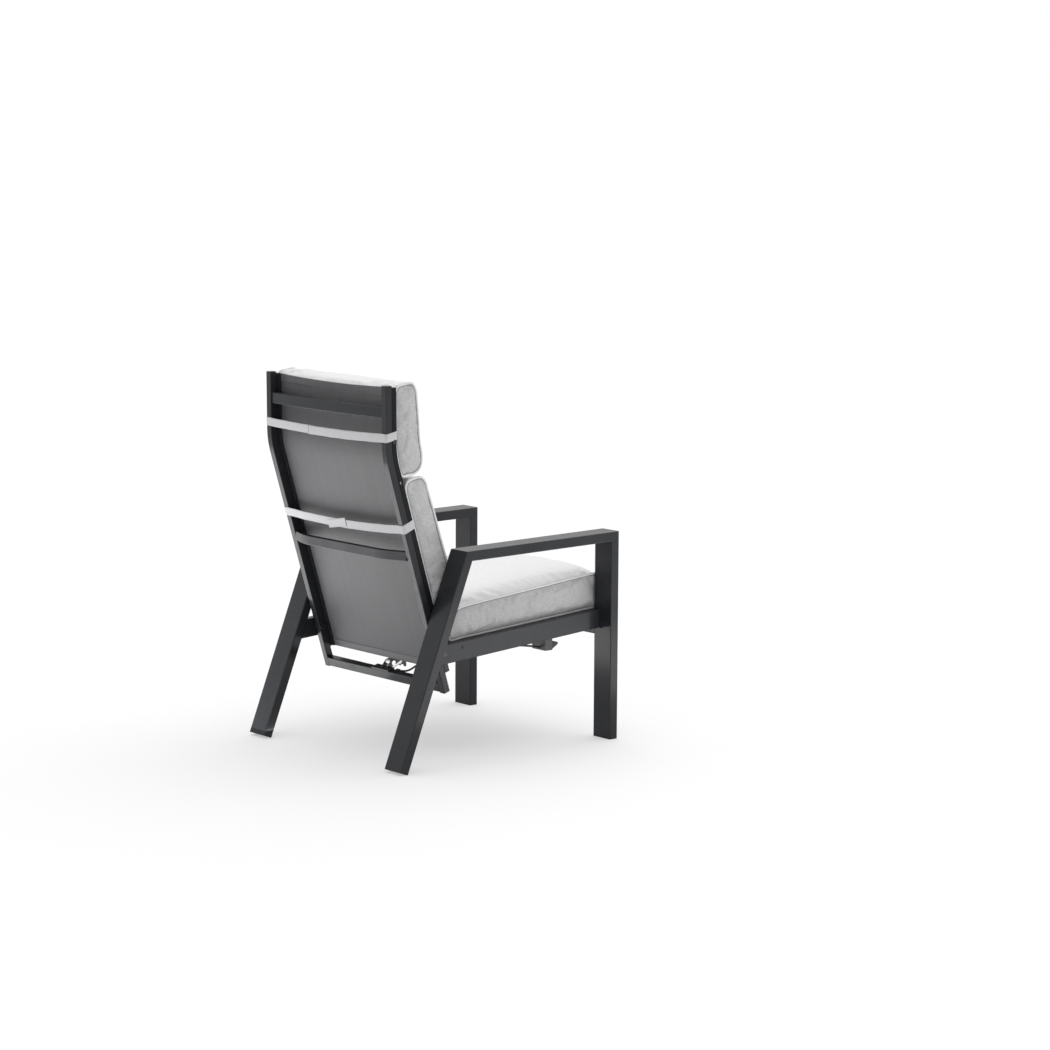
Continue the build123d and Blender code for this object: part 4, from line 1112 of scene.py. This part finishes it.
sheath_radius = 2.75
wire_radius = 1.2
wire_below = 14.75
clip_y, clip_z = back_surface(-94.0, 14.75)
cable_route = [
    (-242.0, 205.0, 266.0), (-242.0, 222.0, 271.0), (-242.0, 250.0, 275.5), (-241.0, 284.0, 280.5),
    (-239.0, 320.0, 284.5), (-235.0, 360.0, 285.0), (-226.0, 402.0, 282.0), (-192.0, 444.0, 276.0),
    (-148.0, 478.0, 267.0), (-112.0, 502.0, 248.0), (-93.0, 519.0, 228.0), (-78.0, 530.0, 215.0),
    (-58.0, clip_y, clip_z), (-36.5, clip_y, clip_z),
]
rear_pin = pivot - np.array([47.0, 69.5])
front_pin = np.array([148.0, 301.0])
spring_run = unit(front_pin - rear_pin)
spring_down = np.array([-spring_run[1], spring_run[0]])


def spring_point(distance, below):
    """Point (x, y, z) on the spring's plane, along it from the rear pin and square below it."""
    return (0.0, *(rear_pin + spring_run * distance + spring_down * below))


wire_route = [
    (-36.5, clip_y, clip_z), (-22.0, clip_y, clip_z), (-9.5, 531.0, 209.5), (-1.5, 522.0, 211.5),
    spring_point(23.3, wire_below), spring_point(35.3, wire_below),
]
wire_split = 23.0


def bend_between(piece, start, end):
    """Bake a piece's transform into its mesh; start and end are turned into metres and the result is
    not used.
    """
    placed(*start).tolist()
    placed(*end).tolist()
    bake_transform(piece)


def make_cable():
    """Sheathed cable, and the bare wire on to the release arm."""
    upright = np.array([0.0, 0, 1])
    line = smooth_line("cable_line", cable_route, 220)
    finish = finishes["cable_sheath"]
    sheath = tube("release_cable_sheath", line, sheath_radius, finish, False, upright, 14)
    dress(sheath, None, "cable_sheath", "release_cable")
    bend_between(sheath, cable_route[4], cable_route[11])
    line = smooth_line("wire_line", wire_route, 90)
    reached = np.argmax((line[:, 1:] - rear_pin) @ spring_run > wire_split)
    finish = finishes["zinc_steel"]
    wire = tube("release_wire_strand", line[: reached + 1], wire_radius, finish, False, upright)
    dress(wire, None, "zinc_steel", "release_wire")
    bend_between(wire, wire_route[1], spring_point(20.0, wire_below))
    end = tube("release_wire_end", line[reached:], wire_radius, finish, False, upright)
    dress(end, None, "zinc_steel")
    start = spring_point(wire_split + 1.0, wire_below)
    bend_between(end, start, spring_point(34.0, wire_below))


make_cable()
make_slings()
make_straps()
make_clips()
make_cushions()


# Camera, floor and light

camera_place = (-6.68107, 5.36666, 1.82275)
camera_turn, camera_dip, camera_roll = 2.27694022, 0.142339565, 0.00585757
camera_lens = 107.798
white = (1, 1, 1, 1)
floor_reach = 60.0
white_share = 0.45

# Lamps lying on the floor, facing up: name, middle in metres, size in metres and watts
bounce_lamps = [
    ("rear_bounce", (1.1, 0.85, 0.02), (1.7, 1.1), 25.0),
    ("side_bounce", (-1.5, -0.75, 0.02), (1.5, 1.5), 20.0),
]


def make_camera():
    """Camera of the photograph, from its place, turn, dip and roll."""
    turn, dip, roll = camera_turn, camera_dip, camera_roll
    onward = Vector((sin(turn) * cos(dip), cos(turn) * cos(dip), -sin(dip)))
    right = Vector((cos(turn), -sin(turn), 0))
    upward = right.cross(onward)
    tilted_right = right * cos(roll) + upward * sin(roll)
    tilted_up = upward * cos(roll) - right * sin(roll)
    lens = bpy.data.cameras.new("camera")
    lens.sensor_width = 36.0
    lens.lens = camera_lens
    lens.clip_end = 200
    columns = Matrix((tilted_right, tilted_up, -onward)).transposed()
    scene.camera = linked("camera", lens)
    scene.camera.matrix_world = Matrix.Translation(camera_place) @ columns.to_4x4()


def make_floor():
    """Pale floor that keeps the chair's shadow; a share of it is plain white to who looks at it."""
    finish = Finish("floor_paint", Roughness=0.9)
    mottle = finish.noise(finish.place(), 3.0, 3.0)
    finish.set("Base Color", finish.mix(mottle, (0.82, 0.82, 0.82), (0.84, 0.84, 0.84)))
    painted = Wire(finish, finish.shader.outputs[0])
    plain = finish.add("ShaderNodeEmission", None, {"Color": white, "Strength": 1.0})
    lit = finish.blended(finish.looked_at() * white_share, painted, plain)
    finish.tree.links.new(lit.socket, finish.output.inputs[0])
    corners = np.array([(-1, -1, 0), (1, -1, 0), (1, 1, 0), (-1, 1, 0)]) * floor_reach
    make_piece("floor", corners, [(0, 1, 2, 3)], finish.material)


def make_light():
    """Even white surroundings, which the camera sees plain white, and three lamps."""
    scene.world = bpy.data.worlds.new("studio")
    sky = Shading(scene.world)
    soft = sky.add("ShaderNodeBackground", None, {"Color": white, "Strength": 0.6})
    plain = sky.add("ShaderNodeBackground", None, {"Color": white, "Strength": 1.0})
    sky.add("ShaderNodeOutputWorld", None, {0: sky.blended(sky.looked_at(), soft, plain)})
    sun = bpy.data.lights.new("overhead", "SUN")
    sun.angle = 1.6
    sun.energy = 2.1
    linked("overhead", sun).rotation_euler = (radians(22), radians(8), 0)
    for name, middle, size, energy in bounce_lamps:
        lamp = bpy.data.lights.new(name, "AREA")
        lamp.shape = "RECTANGLE"
        lamp.size, lamp.size_y = size
        lamp.energy = energy
        holder = linked(name, lamp)
        holder.location = middle
        holder.rotation_euler = (pi, 0, 0)
        holder.visible_camera = False


make_camera()
make_floor()
make_light()
